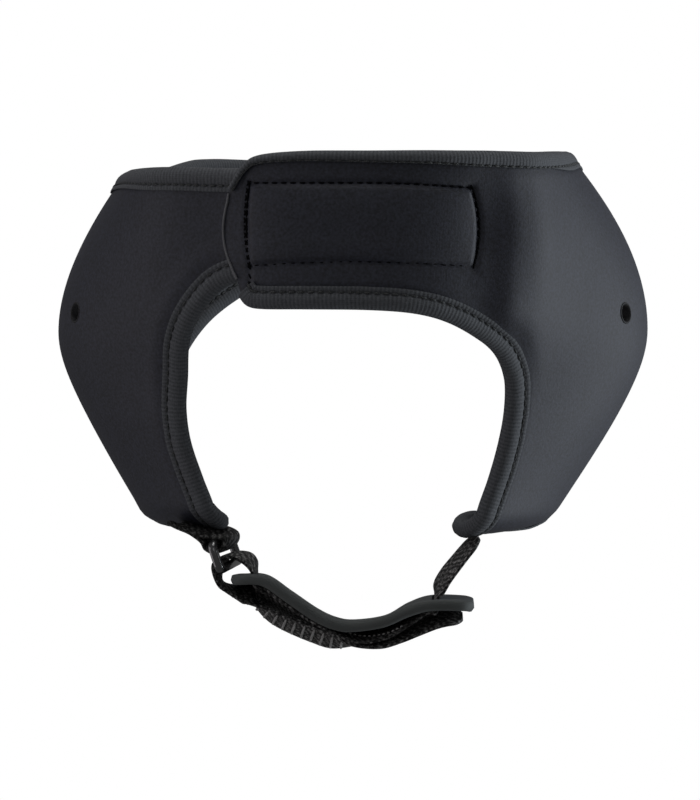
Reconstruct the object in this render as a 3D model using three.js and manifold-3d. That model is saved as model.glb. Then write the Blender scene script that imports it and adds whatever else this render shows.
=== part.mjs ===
// Ear guard: a neoprene headband with two flared ear covers, bound edges and a padded chin strap.
// Millimetres, +Z up, +X towards the right ear cover, -Y towards the closure tab.
// The origin lies midway between the two ear covers, in the hollow where the head sits.
import * as THREE from "three";
import { mergeVertices } from "three/addons/utils/BufferGeometryUtils.js";
import Module from "manifold-3d";

const wasm = await Module();
wasm.setup();

// Driving sizes of the neoprene wall
const WALL = 4; // neoprene thickness
const GAP = 0.3; // clearance between neighbouring pieces
const COVER_HALF_WIDTH = 102.6; // middle plane to the widest point of an ear cover
const COVER_HEIGHT = 5; // height of that widest point above the origin
const COVER_CROWN = 70.7; // above that point the cover draws in by a power of its height over this
const COVER_POWER = 1.85;
const COVER_LEAN = 0.66; // below it the cover draws in at this rate
const COVER_ROUND = 20; // after a rounding of this length
const BAND_HALF_WIDTH = 80; // headband, at the height below
const BAND_HEIGHT = 60;
const BAND_TAPER = 0.16; // headband's loss of half width for each mm further down
const BAND_HALF_DEPTH = 95;
const OPENING_TUCK = { depth: 10, from: 18, to: -20 }; // near wall draws in beside the face opening
const TIP_TUCK = { depth: 11, from: -15, to: -60 }; // and again towards the tips
const FAR_TUCK = { depth: 12, from: 20, to: -60 }; // far wall draws in towards the tips
const SIDE_LEAN = 0.018; // the soft wall leans this much to the right for each mm up
const SQUARENESS = 2.4; // 2 is an ellipse, more flattens the tab
const NEAR_SPREAD = 62; // degrees from the ear over which a cover fades into the near band
const FAR_SPREAD = 60;
const VALLEY = { azimuth: -55, spread: 7, depth: 1.2, height: 40, rise: 26 }; // crease beside the tab
// The padding swells beyond that crease, so its depth is negative
const SHOULDER = { azimuth: -46, spread: 11, depth: -5, height: 36, rise: 24 };

// The lower end of each cover bends inwards into a lip
const BEND_REACH = -55.6; // where the bend starts
const BEND_RADIUS = 14;
const BEND_FROM = THREE.MathUtils.degToRad(31);
const BEND_TO = THREE.MathUtils.degToRad(130);
const LEFT_TIP_LIFT = 2.4; // the left tip sits a little higher

// Edge tape, hook patch and overlap of the two band ends
const TAPE = 0.9;
const TAPE_GAP = 0.4; // between the tape and the neoprene
const TAPE_LEG = 6;
const PINCH = 0.8; // each face of the neoprene draws in by this at a bound edge
const PINCH_RUN = 7.5; // over this distance from the edge
const HOOK_THICKNESS = 1.6;
const HOOK = { from: -107.5, to: -60.5, low: 29.5, top: 54.5 };
const TAIL_INSET = WALL + GAP + HOOK_THICKNESS + GAP + TAPE + TAPE_GAP;
const TAIL_RAMP = [215, 243]; // azimuths over which the tail dives under the tab
const TAB_BOW = 3.2; // degrees that the tab's cut end bulges
const TAB_SQUARE = 6; // stations over which the tab's columns turn square to its cut end

// Hearing holes, as azimuth from the ear and reach
const HOLE_RADIUS = 3;
const HOLES = [[-16.5, 12.2], [16.5, 12.2], [1, -19]];

// Chin strap, buckle and pad
const WEB_WIDTH = 19;
const WEB = 1.3; // webbing thickness
const STRAP_Y = -47; // middle of the strap's width
const PAD_THICKNESS = 3.5;
const SLIT = 2.6;
const STRAP_GAP = 0.3; // between the strap and the pad that it hugs
const BUCKLE = { slotWidth: 20.6, slotLength: 5.6, bar: 3, thickness: 3, bevel: 0.6, corner: 2 };
const BUCKLE_CENTRE = new THREE.Vector3(-41.4, STRAP_Y, -68.6);
const BUCKLE_WIDTH_AXIS = new THREE.Vector3(0.19, 0.98, 0.04);
const BUCKLE_LENGTH_AXIS = new THREE.Vector3(0.33, 0, -0.94);

// Mesh density
const BODY_STATIONS = 104;
const BODY_COLUMNS = 10;
const PATCH_STATIONS = 16;
const RIBBON_STEPS = 3; // between two rows of a route
const ROUTE_SAMPLES = 200; // places along the pad from which the strap's are picked
const HOLE_SIDES = 14;

// Outline of the strip, from the tab's end round to the far band. Angles are azimuths from the right
// ear, negative towards the tab; heights are reach along the wall. The left half mirrors the angles and
// has heights and a lower edge of its own.
const OUTLINE = table(["topAngle", "top", "lowAngle", "low", "leftTop", "leftLowAngle", "leftLow"], [
  [-114.5, 54, -113, 19.5],
  [-110.5, 61, -111, 16.8],
  [-106.5, 64, -107, 16],
  [-97, 65.2, -97, 16],
  [-86, 65.2, -86, 15.8],
  [-75, 65.2, -75.5, 14.6],
  [-65, 65, -66.5, 11.8],
  [-55, 64.9, -57.5, 6.8],
  [-44, 64.9, -49.8, 0],
  [-33, 65.4, -45.4, -9, 60, -44.6, -9],
  [-22, 66, -43.5, -20, 60, -42.9, -20],
  [-12, 66.4, -43.1, -32, 59, -42.4, -32],
  [-3, 66, -43.8, -44, 57.8, -43.8, -44],
  [5, 65, -45.4, -55, 57.2, -45.6, -54],
  [11, 63.8, -45.4, -66.5, 57.4, -45, -62.3],
  [16, 62.8, -40.3, -76.6, 58.4, -39.6, -70],
  [21, 62.5, -31.5, -80.2, 60, -30.5, -73.2],
  [26, 62.6, -21, -78.4, 61.5, -20, -73.5],
  [31, 62.9, -9, -73, 62.8, -8, -71],
  [36, 63.2, 3, -66.5, 63.8, 4, -66],
  [41, 63.5, 14, -59, 64.6, 14, -59],
  [47, 63.9, 23, -48, 64.9, 23, -48],
  [54, 64.3, 28, -32, 64.8, 28, -32],
  [62, 64.7, 34, -12, 64.6, 34, -12],
  [70, 64.9, 46, 9, 64.6, 46, 9],
  [79, 65, 66, 22, 65, 66, 22],
]);
const FAR_MIDDLE = { topAngle: 90, top: 65, lowAngle: 90, low: 26 };
const MIRRORED_FROM = 9; // rows before this one belong to the tab and have no mirror image
const TAIL = table(["topAngle", "top", "lowAngle", "low"], [
  [228, 59.8, 226.4, 4],
  [236, 59.4, 230.4, 14.4],
  [244, 59.2, 237.2, 22.8],
  [253, 59, 248.4, 26],
  [265, 59, 265, 26],
  [280, 59, 280, 26],
  [296, 59, 296, 26],
]);

// Middle line of the pad, seen from the tab side
const PAD_ROUTE = table(["x", "z", "width", "roll"], [
  [-38.8, -77.6, 20, -5],
  [-35.6, -77.4, 27, -5],
  [-28, -77.8, 29, -5],
  [-19.7, -83.3, 30, -5],
  [-11, -89.2, 30, -5],
  [-4.4, -92.2, 30, -5],
  [2, -93, 30, -5],
  [12.5, -91.4, 30, -5],
  [20.5, -87.5, 30, -3],
  [28, -85.2, 29, -2],
  [38.5, -85.2, 27, -2],
  [42.6, -86, 20, -2],
]);
const RIGHT_SLIT = { x: 29.8, z: -85.3 };
const LEFT_SLIT = { x: -31.4, z: -77.6 };

// The strap from the right cover down to the pad, then from the pad over the buckle to the tail
const STRAP_DOWN = table(["x", "z", "roll"], [
  [45.2, -63.4, 0],
  [43.4, -64.4, -1],
  [40.6, -66.8, -4],
  [36.8, -71.2, -6],
  [33, -76.2, -9],
  [30.7, -80.4, -6],
  [RIGHT_SLIT.x, -83.6, 0],
  [RIGHT_SLIT.x, -87.6, 0],
]);
// Stations where it hugs the pad from below; the tilt lowers its near edge from the pad's own plane
const STRAP_UNDER = table(["x", "tilt"], [
  [26.5, 0],
  [20, 4],
  [12, 6],
  [3, 5],
  [-7, -6],
  [-15, -11],
  [-22, -14],
  [-27, -16],
]);
const STRAP_OVER = table(["x", "z", "roll", "yaw"], [
  [LEFT_SLIT.x, -79.9, 0, 0],
  [LEFT_SLIT.x, -77.6, 0, 0],
  [LEFT_SLIT.x, -75, 0, 0],
  [-32.4, -72, 0, 6],
  [-35.4, -69.6, 0, 11],
  [-40, -69.3, 0, 11],
  [-43, -71.6, 0, 11],
  [-43.8, -75.2, -2, 6],
  [-43, -78.9, -2, 0],
  [-39.9, -81.1, 1, 0],
  [-35, -83, 7, 0],
  [-28.6, -88.7, -13, 0],
  [-20.4, -92.8, -20, 0],
  [-11.6, -96.5, -22, 0],
  [-4.9, -98.6, -11, 0],
  [2, -99.4, 0, 0],
  [11, -98.3, 6, 0],
  [18, -96, 8, 0],
  [24, -93.5, 8, 0],
  [31, -91, 7, 0],
  [38.8, -89.8, 6, 0],
]);

// The loop that holds the buckle: sewn under the left cover, round the buckle's upper bar and back
const ANCHOR = table(["x", "z", "roll", "yaw"], [
  [-51.5, -61.25, -5, 11],
  [-47.5, -62.1, -4, 11],
  [-43.2, -61.7, 0, 11],
  [-39.8, -62.6, 0, 11],
  [-39.8, -65.4, 0, 11],
  [-42.5, -67.6, 0, 11],
  [-45.6, -66.5, 0, 11],
  [-47.6, -64.1, 3, 11],
  [-51.5, -62.5, 7, 11],
  [-56, -61, 7, 11],
  [-60, -59.4, 7, 11],
]);

// Rows of a table as objects with its column names. A short row leaves its last columns out.
function table(columns, rows) {
  return rows.map((row) => Object.fromEntries(row.map((value, i) => [columns[i], value])));
}

// Eased step from 0 at one value to 1 at another, in either direction.
function smooth(from, to, value) {
  const share = THREE.MathUtils.clamp((value - from) / (to - from), 0, 1);
  return share * share * (3 - 2 * share);
}

// How far a dent, or with a negative depth a swelling, draws the wall in round its middle.
function dent(place, azimuth, height) {
  return place.depth * Math.exp(-(((azimuth - place.azimuth) / place.spread) ** 2))
    * Math.exp(-(((height - place.height) / place.rise) ** 2));
}

// How far a wall has drawn in at a height.
function tuck({ depth, from, to }, height) {
  return depth * smooth(from, to, height);
}

// How far the lower bend carries the wall inwards and down, for a reach below the bend's start.
function bend(reach, start) {
  const run = Math.max(start - reach, 0);
  const angle = Math.min(BEND_FROM + run / BEND_RADIUS, BEND_TO);
  const flat = Math.max(run - BEND_RADIUS * (BEND_TO - BEND_FROM), 0);
  return {
    inward: BEND_RADIUS * (Math.cos(BEND_FROM) - Math.cos(angle)) + flat * Math.sin(BEND_TO),
    drop: BEND_RADIUS * (Math.sin(angle) - Math.sin(BEND_FROM)) + flat * Math.cos(BEND_TO),
  };
}

// How far an ear cover has drawn in at a height above or below its widest point.
function coverDraw(rise) {
  if (rise > 0) {
    return rise ** COVER_POWER / COVER_CROWN;
  }
  return COVER_LEAN * (Math.hypot(rise, COVER_ROUND) - COVER_ROUND);
}

// A point of the wall's outer face. The wall is a flattened ellipse that widens into a ridge at each
// ear and turns inwards at the bottom.
function outerPoint(azimuth, reach) {
  const angle = THREE.MathUtils.degToRad(azimuth);
  const across = Math.cos(angle);
  const along = Math.sin(angle);
  const bendStart = BEND_REACH + 2 * LEFT_TIP_LIFT * Math.max(-across, 0) * Math.max(-along, 0);
  const { inward, drop } = bend(reach, bendStart);
  const height = Math.max(reach, bendStart);
  const ridge = COVER_HALF_WIDTH - coverDraw(height - COVER_HEIGHT);
  const band = BAND_HALF_WIDTH - BAND_TAPER * (BAND_HEIGHT - height);
  const fromEar = THREE.MathUtils.radToDeg(Math.asin(along));
  const spread = fromEar < 0 ? NEAR_SPREAD : FAR_SPREAD;
  const share = Math.cos((Math.PI / 2) * Math.min(Math.abs(fromEar) / spread, 1)) ** 2;
  const nearDepth = BAND_HALF_DEPTH - tuck(OPENING_TUCK, height) - tuck(TIP_TUCK, height);
  const farDepth = BAND_HALF_DEPTH - tuck(FAR_TUCK, height);
  const dents = dent(VALLEY, azimuth, height) + dent(SHOULDER, azimuth, height);
  const inset = inward + dents + TAIL_INSET * smooth(...TAIL_RAMP, azimuth);
  const halfWidth = band + (ridge - band) * share - inset;
  const halfDepth = (along < 0 ? nearDepth : farDepth) - inset;
  const power = 2 / SQUARENESS;
  const z = height - drop;
  return new THREE.Vector3(
    halfWidth * Math.sign(across) * Math.abs(across) ** power + SIDE_LEAN * (z - COVER_HEIGHT),
    halfDepth * Math.sign(along) * Math.abs(along) ** power,
    z,
  );
}

// The wall's two in-surface directions at a point, for one degree and one mm, and its outward normal.
function wallFrame(azimuth, reach) {
  const step = 0.05;
  const turn = outerPoint(azimuth + step, reach).sub(outerPoint(azimuth - step, reach));
  const rise = outerPoint(azimuth, reach + step).sub(outerPoint(azimuth, reach - step));
  turn.divideScalar(2 * step);
  rise.divideScalar(2 * step);
  return { turn, rise, normal: turn.clone().cross(rise).normalize() };
}

// A point at a depth from the wall's outer face, positive outwards.
function wallPoint(azimuth, reach, depth) {
  return outerPoint(azimuth, reach).addScaledVector(wallFrame(azimuth, reach).normal, depth);
}

function outlineRows() {
  const mirrored = OUTLINE.slice(MIRRORED_FROM).reverse().map((row) => ({
    topAngle: 180 - row.topAngle,
    top: row.leftTop,
    lowAngle: 180 - row.leftLowAngle,
    low: row.leftLow,
  }));
  return [...OUTLINE, FAR_MIDDLE, ...mirrored, ...TAIL];
}

function curveThrough(points) {
  return new THREE.CatmullRomCurve3(points, false, "catmullrom", 0.5);
}

const ROWS = outlineRows();
const TOP_EDGE = curveThrough(ROWS.map((row) => new THREE.Vector3(row.topAngle, row.top, 0)));
const LOW_EDGE = curveThrough(ROWS.map((row) => new THREE.Vector3(row.lowAngle, row.low, 0)));

// A place at a distance in from an edge, square to it, as azimuth and reach. side is 1 for the lower
// edge and -1 for the upper one.
function inFromEdge(edge, share, distance, side) {
  const step = 0.002;
  const before = edge.getPoint(Math.max(share - step, 0));
  const after = edge.getPoint(Math.min(share + step, 1));
  const here = edge.getPoint(share);
  const { turn, rise, normal } = wallFrame(here.x, here.y);
  const run = outerPoint(after.x, after.y).sub(outerPoint(before.x, before.y));
  const inward = normal.clone().cross(run).multiplyScalar(side).normalize();
  const det = turn.lengthSq() * rise.lengthSq() - turn.dot(rise) ** 2;
  const a = (inward.dot(turn) * rise.lengthSq() - inward.dot(rise) * turn.dot(rise)) / det;
  const b = (inward.dot(rise) * turn.lengthSq() - inward.dot(turn) * turn.dot(rise)) / det;
  return { azimuth: here.x + a * distance, reach: here.y + b * distance };
}

// A closed skin through loops of points, with flat ends. section gives each loop's points in the
// plane, to fill the ends. Each four-sided patch is split along its shorter diagonal, so that pieces
// that lie on each other are split alike.
function loft(loops, section) {
  const count = section.length;
  const points = loops.flat();
  const positions = points.flatMap((point) => point.toArray());
  const index = [];
  for (let i = 0; i + 1 < loops.length; i += 1) {
    for (let j = 0; j < count; j += 1) {
      const next = (j + 1) % count;
      const [a, b] = [i * count + j, i * count + next];
      const [c, d] = [a + count, b + count];
      if (points[b].distanceTo(points[c]) < points[a].distanceTo(points[d])) {
        index.push(a, c, b, b, c, d);
      } else {
        index.push(a, c, d, a, d, b);
      }
    }
  }
  const lastLoop = (loops.length - 1) * count;
  for (const [a, b, c] of THREE.ShapeUtils.triangulateShape(section, [])) {
    index.push(a, b, c, lastLoop + a, lastLoop + c, lastLoop + b);
  }
  const geometry = new THREE.BufferGeometry();
  geometry.setAttribute("position", new THREE.Float32BufferAttribute(positions, 3));
  geometry.setIndex(index);
  return facingOut(geometry);
}

function facingOut(geometry) {
  const position = geometry.getAttribute("position");
  const index = geometry.getIndex();
  const [a, b, c] = [new THREE.Vector3(), new THREE.Vector3(), new THREE.Vector3()];
  let volume = 0;
  for (let i = 0; i < index.count; i += 3) {
    a.fromBufferAttribute(position, index.getX(i));
    b.fromBufferAttribute(position, index.getX(i + 1));
    c.fromBufferAttribute(position, index.getX(i + 2));
    volume += a.dot(b.cross(c));
  }
  if (volume < 0) {
    index.array.reverse();
  }
  geometry.computeVertexNormals();
  return geometry;
}

function toManifold(geometry) {
  const bare = geometry.clone();
  bare.deleteAttribute("normal");
  bare.deleteAttribute("uv");
  const merged = mergeVertices(bare, 1e-4);
  return new wasm.Manifold(new wasm.Mesh({
    numProp: 3,
    vertProperties: new Float32Array(merged.getAttribute("position").array),
    triVerts: new Uint32Array(merged.getIndex().array),
  }));
}

function cut(geometry, cutters) {
  let solid = toManifold(geometry);
  for (const cutter of cutters) {
    solid = solid.subtract(toManifold(cutter));
  }
  const mesh = solid.getMesh();
  const result = new THREE.BufferGeometry();
  result.setAttribute("position", new THREE.Float32BufferAttribute(mesh.vertProperties, 3));
  result.setIndex([...mesh.triVerts]);
  result.computeVertexNormals();
  return result;
}

// Neoprene strip from the tab round both ear covers to the tail under the tab.
function bodyGeometry() {
  const section = [];
  for (let j = 0; j <= BODY_COLUMNS; j += 1) {
    section.push(new THREE.Vector2(j, 0));
  }
  for (let j = BODY_COLUMNS; j >= 0; j -= 1) {
    section.push(new THREE.Vector2(j, 1));
  }
  const loops = [];
  for (let i = 0; i <= BODY_STATIONS; i += 1) {
    const share = i / BODY_STATIONS;
    const upper = inFromEdge(TOP_EDGE, share, PINCH_RUN, -1);
    const lower = inFromEdge(LOW_EDGE, share, PINCH_RUN, 1);
    const [top, low] = [TOP_EDGE.getPoint(share), LOW_EDGE.getPoint(share)];
    const square = smooth(TAB_SQUARE, 0, i);
    const places = [top];
    for (let j = 1; j < BODY_COLUMNS; j += 1) {
      const mix = (j - 1) / (BODY_COLUMNS - 2);
      const bow = TAB_BOW * Math.sin(Math.PI * (j / BODY_COLUMNS)) * square;
      const slanted = THREE.MathUtils.lerp(upper.azimuth, lower.azimuth, mix);
      const straight = THREE.MathUtils.lerp(top.x, low.x, mix);
      places.push(new THREE.Vector3(
        THREE.MathUtils.lerp(slanted, straight, square) - bow,
        THREE.MathUtils.lerp(upper.reach, lower.reach, mix),
        0,
      ));
    }
    places.push(low);
    const pinch = (j) => (j % BODY_COLUMNS === 0 ? PINCH : PINCH * square);
    const outside = places.map((place, j) => wallPoint(place.x, place.y, -pinch(j)));
    const inside = places.map((place, j) => wallPoint(place.x, place.y, pinch(j) - WALL));
    loops.push([...outside, ...inside.reverse()]);
  }
  return cut(loft(loops, section), holeCutters());
}

function holeCutters() {
  const cutters = [];
  for (const [fromEar, reach] of HOLES) {
    for (const azimuth of [fromEar, 180 - fromEar]) {
      const axis = wallFrame(azimuth, reach).normal;
      const cylinder = new THREE.CylinderGeometry(HOLE_RADIUS, HOLE_RADIUS, 4 * WALL, HOLE_SIDES);
      const turn = new THREE.Quaternion().setFromUnitVectors(new THREE.Vector3(0, 1, 0), axis);
      cylinder.applyQuaternion(turn);
      cylinder.translate(...wallPoint(azimuth, reach, -WALL / 2).toArray());
      cutters.push(cylinder);
    }
  }
  return cutters;
}

// Tape folded over an edge of the body: two legs along the faces and a fold round the edge.
function bindingGeometry(edge, side) {
  const skin = TAPE_GAP + TAPE;
  const end = PINCH * (1 - TAPE_LEG / PINCH_RUN); // what is left of the pinch where the legs end
  const [face, back] = [-PINCH, PINCH - WALL];
  const section = [
    [TAPE_LEG, skin - end], [TAPE / 3, face + skin], [-skin, face], [-skin, back],
    [TAPE / 3, back - skin], [TAPE_LEG, end - WALL - skin], [TAPE_LEG, end - WALL - TAPE_GAP],
    [-TAPE_GAP, back - TAPE_GAP], [-TAPE_GAP, face + TAPE_GAP], [TAPE_LEG, TAPE_GAP - end],
  ].map(([inFromEdgeLine, depth]) => new THREE.Vector2(inFromEdgeLine, depth));
  const loops = [];
  for (let i = 0; i <= BODY_STATIONS; i += 1) {
    loops.push(section.map(({ x, y }) => {
      const place = inFromEdge(edge, i / BODY_STATIONS, x, side);
      return wallPoint(place.azimuth, place.reach, y);
    }));
  }
  return loft(loops, section);
}

// Patch sewn to the inner face of the tab.
function hookPatchGeometry() {
  const [near, away] = [-WALL - GAP, -WALL - GAP - HOOK_THICKNESS];
  const section = [
    [HOOK.top, near], [HOOK.low, near], [HOOK.low, away], [HOOK.top, away],
  ].map(([reach, depth]) => new THREE.Vector2(reach, depth));
  const loops = [];
  for (let i = 0; i <= PATCH_STATIONS; i += 1) {
    const azimuth = THREE.MathUtils.lerp(HOOK.from, HOOK.to, i / PATCH_STATIONS);
    loops.push(section.map(({ x, y }) => wallPoint(azimuth, x, y)));
  }
  return loft(loops, section);
}

// A flat band along a route in the strap's plane. Rows give the middle line, a roll about it and,
// where they change, the band's width and the yaw of its crosswise lines.
function routeOf(rows) {
  const places = rows.map(({ x, z }) => new THREE.Vector3(x, STRAP_Y, z));
  const turns = rows.map(({ roll, width = WEB_WIDTH, yaw = 0 }) => new THREE.Vector3(roll, width, yaw));
  return {
    line: curveThrough(places),
    extra: curveThrough(turns),
    steps: (rows.length - 1) * RIBBON_STEPS,
  };
}

function bandFrame(route, share) {
  const centre = route.line.getPoint(share);
  const tangent = route.line.getTangent(share);
  const { x: roll, y: width, z: yaw } = route.extra.getPoint(share);
  const sideways = new THREE.Vector3(0, 1, 0);
  sideways.applyAxisAngle(new THREE.Vector3(0, 0, -1), THREE.MathUtils.degToRad(yaw));
  sideways.applyAxisAngle(tangent, THREE.MathUtils.degToRad(roll));
  return { centre, tangent, sideways, width, roll, face: tangent.clone().cross(sideways).normalize() };
}

function bandGeometry(rows, thickness) {
  const route = routeOf(rows);
  const corners = [[-0.5, -0.5], [0.5, -0.5], [0.5, 0.5], [-0.5, 0.5]];
  const section = corners.map(([x, y]) => new THREE.Vector2(x, y));
  const loops = [];
  for (let i = 0; i <= route.steps; i += 1) {
    const frame = bandFrame(route, i / route.steps);
    loops.push(section.map(({ x, y }) => frame.centre.clone()
      .addScaledVector(frame.sideways, x * frame.width)
      .addScaledVector(frame.face, y * thickness)));
  }
  return loft(loops, section);
}

// Foam pad with a slit near each end for the strap.
function padGeometry() {
  const slits = [RIGHT_SLIT, LEFT_SLIT].map(({ x, z }) => {
    const slit = new THREE.BoxGeometry(SLIT, WEB_WIDTH + 2 * GAP, 4 * PAD_THICKNESS);
    return slit.translate(x, STRAP_Y, z);
  });
  return cut(bandGeometry(PAD_ROUTE, PAD_THICKNESS), slits);
}

// The strap runs through the pad's right slit, along under the pad, up through the left slit, over
// the buckle's lower bar and back under everything as a tail.
function strapRows() {
  const pad = routeOf(PAD_ROUTE);
  const samples = pad.line.getPoints(ROUTE_SAMPLES)
    .map((point, i) => ({ point, share: i / ROUTE_SAMPLES }));
  const under = STRAP_UNDER.map(({ x, tilt }) => {
    const nearest = samples.reduce((best, next) => (
      Math.abs(next.point.x - x) < Math.abs(best.point.x - x) ? next : best));
    const { centre, tangent, roll } = bandFrame(pad, nearest.share);
    const edgeRise = (WEB_WIDTH / 2) * Math.sin(THREE.MathUtils.degToRad(Math.abs(tilt)));
    const below = PAD_THICKNESS / 2 + STRAP_GAP + WEB / 2 + edgeRise;
    return { x: centre.x + tangent.z * below, z: centre.z - tangent.x * below, roll: -roll - tilt };
  });
  return [...STRAP_DOWN, ...under, ...STRAP_OVER];
}

// One-slot plastic buckle.
function buckleGeometry() {
  const { slotWidth, slotLength, bar, thickness, bevel, corner } = BUCKLE;
  const grown = 2 * bar - 2 * bevel;
  const outline = roundedRectangle(slotWidth + grown, slotLength + grown, corner);
  outline.holes.push(roundedRectangle(slotWidth + 2 * bevel, slotLength + 2 * bevel, corner / 2));
  const geometry = new THREE.ExtrudeGeometry(outline, {
    depth: thickness - 2 * bevel,
    bevelThickness: bevel,
    bevelSize: bevel,
    bevelSegments: 1,
    curveSegments: 4,
  });
  geometry.translate(0, 0, bevel - thickness / 2);
  const width = BUCKLE_WIDTH_AXIS.clone().normalize();
  const face = width.clone().cross(BUCKLE_LENGTH_AXIS).normalize();
  const length = face.clone().cross(width);
  geometry.applyMatrix4(new THREE.Matrix4().makeBasis(width, length, face).setPosition(BUCKLE_CENTRE));
  return geometry;
}

function roundedRectangle(width, length, radius) {
  const [x, y] = [width / 2, length / 2];
  const shape = new THREE.Shape();
  shape.moveTo(-x + radius, -y);
  shape.lineTo(x - radius, -y);
  shape.absarc(x - radius, -y + radius, radius, -Math.PI / 2, 0);
  shape.lineTo(x, y - radius);
  shape.absarc(x - radius, y - radius, radius, 0, Math.PI / 2);
  shape.lineTo(-x + radius, y);
  shape.absarc(-x + radius, y - radius, radius, Math.PI / 2, Math.PI);
  shape.lineTo(-x, -y + radius);
  shape.absarc(-x + radius, -y + radius, radius, Math.PI, 1.5 * Math.PI);
  return shape;
}

function piece(name, geometry, color, roughness) {
  const mesh = new THREE.Mesh(geometry, new THREE.MeshStandardMaterial({ color, roughness, metalness: 0 }));
  mesh.name = name;
  return mesh;
}

const earGuard = new THREE.Group();
earGuard.add(
  piece("body", bodyGeometry(), 0x1d1d21, 0.9),
  piece("top_binding", bindingGeometry(TOP_EDGE, -1), 0x262827, 0.85),
  piece("lower_binding", bindingGeometry(LOW_EDGE, 1), 0x262827, 0.85),
  piece("hook_patch", hookPatchGeometry(), 0x141414, 0.95),
  piece("left_anchor", bandGeometry(ANCHOR, WEB), 0x1a1a1c, 0.8),
  piece("buckle", buckleGeometry(), 0x0c0c0d, 0.25),
  piece("chin_strap", bandGeometry(strapRows(), WEB), 0x18181a, 0.8),
  piece("chin_pad", padGeometry(), 0x2b2d2e, 0.9),
);

export default earGuard;
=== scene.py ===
"""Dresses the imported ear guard: neoprene wall, edge tape, stitching, webbing, buckle and chin pad.

All sizes are in millimetres until a mesh is written, which turns them into metres. +X is to the
right of the tab side, +Y away from it and +Z up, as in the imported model.
"""

import logging
import math
from collections.abc import Callable
from dataclasses import dataclass, field
from enum import Enum

import bmesh
import bpy
import numpy as np
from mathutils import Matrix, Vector


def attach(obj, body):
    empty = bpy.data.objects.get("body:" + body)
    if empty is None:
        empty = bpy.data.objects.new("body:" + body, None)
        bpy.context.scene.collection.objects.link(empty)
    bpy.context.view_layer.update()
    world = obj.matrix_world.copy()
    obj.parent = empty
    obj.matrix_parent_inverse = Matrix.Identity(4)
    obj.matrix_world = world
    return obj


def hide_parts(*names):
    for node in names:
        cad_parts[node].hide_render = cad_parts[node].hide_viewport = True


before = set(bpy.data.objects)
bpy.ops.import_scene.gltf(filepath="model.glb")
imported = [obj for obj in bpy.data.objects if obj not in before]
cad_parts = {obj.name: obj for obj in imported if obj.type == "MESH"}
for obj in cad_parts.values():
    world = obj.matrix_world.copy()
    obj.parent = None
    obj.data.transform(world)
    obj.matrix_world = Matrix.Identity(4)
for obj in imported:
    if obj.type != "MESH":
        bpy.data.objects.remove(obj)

Array = np.ndarray
log = logging.getLogger("ear_guard")

METRE = 0.001  # metres in one unit of the sizes below
DENSE = 4001  # points of a line that is measured before it is divided
WELD = 1e-7  # metres within which two corners are one
CREASE = math.radians(50.0)  # angle between faces from which an edge stays sharp
ROOT = "root"


class Side(Enum):
    """Which edge of the strip a tape lies on, with the sign that points into the strip."""

    UPPER = -1
    LOWER = 1


def ease(start: float, stop: float, value: Array) -> Array:
    """Smooth step from 0 at start to 1 at stop: t squared times (3 - 2 t), in either direction.

    Args:
        start: Where the step begins.
        stop: Where it ends.
        value: Values to map.

    Returns:
        Shares from 0 to 1.
    """
    share = np.clip((np.asarray(value, float) - start) / (stop - start), 0.0, 1.0)
    return share * share * (3.0 - 2.0 * share)


def bell(value: Array, width: "float | Array") -> Array:
    """Gaussian bump, e to the minus (value over width) squared."""
    return np.exp(-((np.asarray(value, float) / width) ** 2))


def unit(vectors: Array) -> Array:
    """Vectors scaled to length one."""
    return vectors / np.maximum(np.linalg.norm(vectors, axis=-1, keepdims=True), 1e-12)


def spline(rows: Array, share: Array) -> Array:
    """Uniform Catmull-Rom curve through rows, with its ends carried straight on.

    Between two rows it is the cubic whose end slopes are half the step from the row before to the
    row after.

    Args:
        rows: Rows of numbers that the curve passes through.
        share: Places along it, from 0 at the first row to 1 at the last.

    Returns:
        An array shaped like share with the row's columns as its last axis.
    """
    padded = np.vstack([2 * rows[0] - rows[1], rows, 2 * rows[-1] - rows[-2]])
    place = np.clip(np.asarray(share, float), 0.0, 1.0) * (len(rows) - 1)
    first = np.minimum(place.astype(int), len(rows) - 2)
    w = (place - first)[..., None]
    before, here, there, after = (padded[first + k] for k in range(4))
    leave, arrive = 0.5 * (there - before), 0.5 * (after - here)
    bend = 3 * (there - here) - 2 * leave - arrive
    twist = 2 * (here - there) + leave + arrive
    return here + leave * w + bend * w**2 + twist * w**3


def run_length(points: Array) -> Array:
    """Distance along a polyline at each of its points, from 0."""
    steps = np.linalg.norm(np.diff(points, axis=0), axis=1)
    return np.concatenate([[0.0], np.cumsum(steps)])


def even_shares(line: Callable[[Array], Array], count: int) -> Array:
    """Shares that divide a line into steps of equal length.

    Args:
        line: Gives the line's points at shares from 0 to 1.
        count: How many shares are wanted.

    Returns:
        Shares from 0 to 1.
    """
    dense = np.linspace(0, 1, DENSE)
    run = run_length(line(dense))
    return np.interp(np.linspace(0, run[-1], count), run, dense)


def round_angles(count: int) -> Array:
    """Angles at even steps of one full turn."""
    return np.linspace(0, 2 * np.pi, count, endpoint=False)


def signed_power(value: Array, power: float) -> Array:
    """A value's size to a power, with the value's own sign."""
    return np.sign(value) * np.abs(value) ** power


def paired(first: Array, second: Array) -> Array:
    """Two arrays, stretched to one shape, as the columns of a map."""
    return np.stack(np.broadcast_arrays(first, second), axis=-1)


@dataclass(frozen=True)
class Tuck:
    """How far a wall draws in between two heights."""

    depth: float
    start: float
    stop: float

    def at(self, height: Array) -> Array:
        """Depth times an eased step of the height."""
        return self.depth * ease(self.start, self.stop, height)


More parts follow.
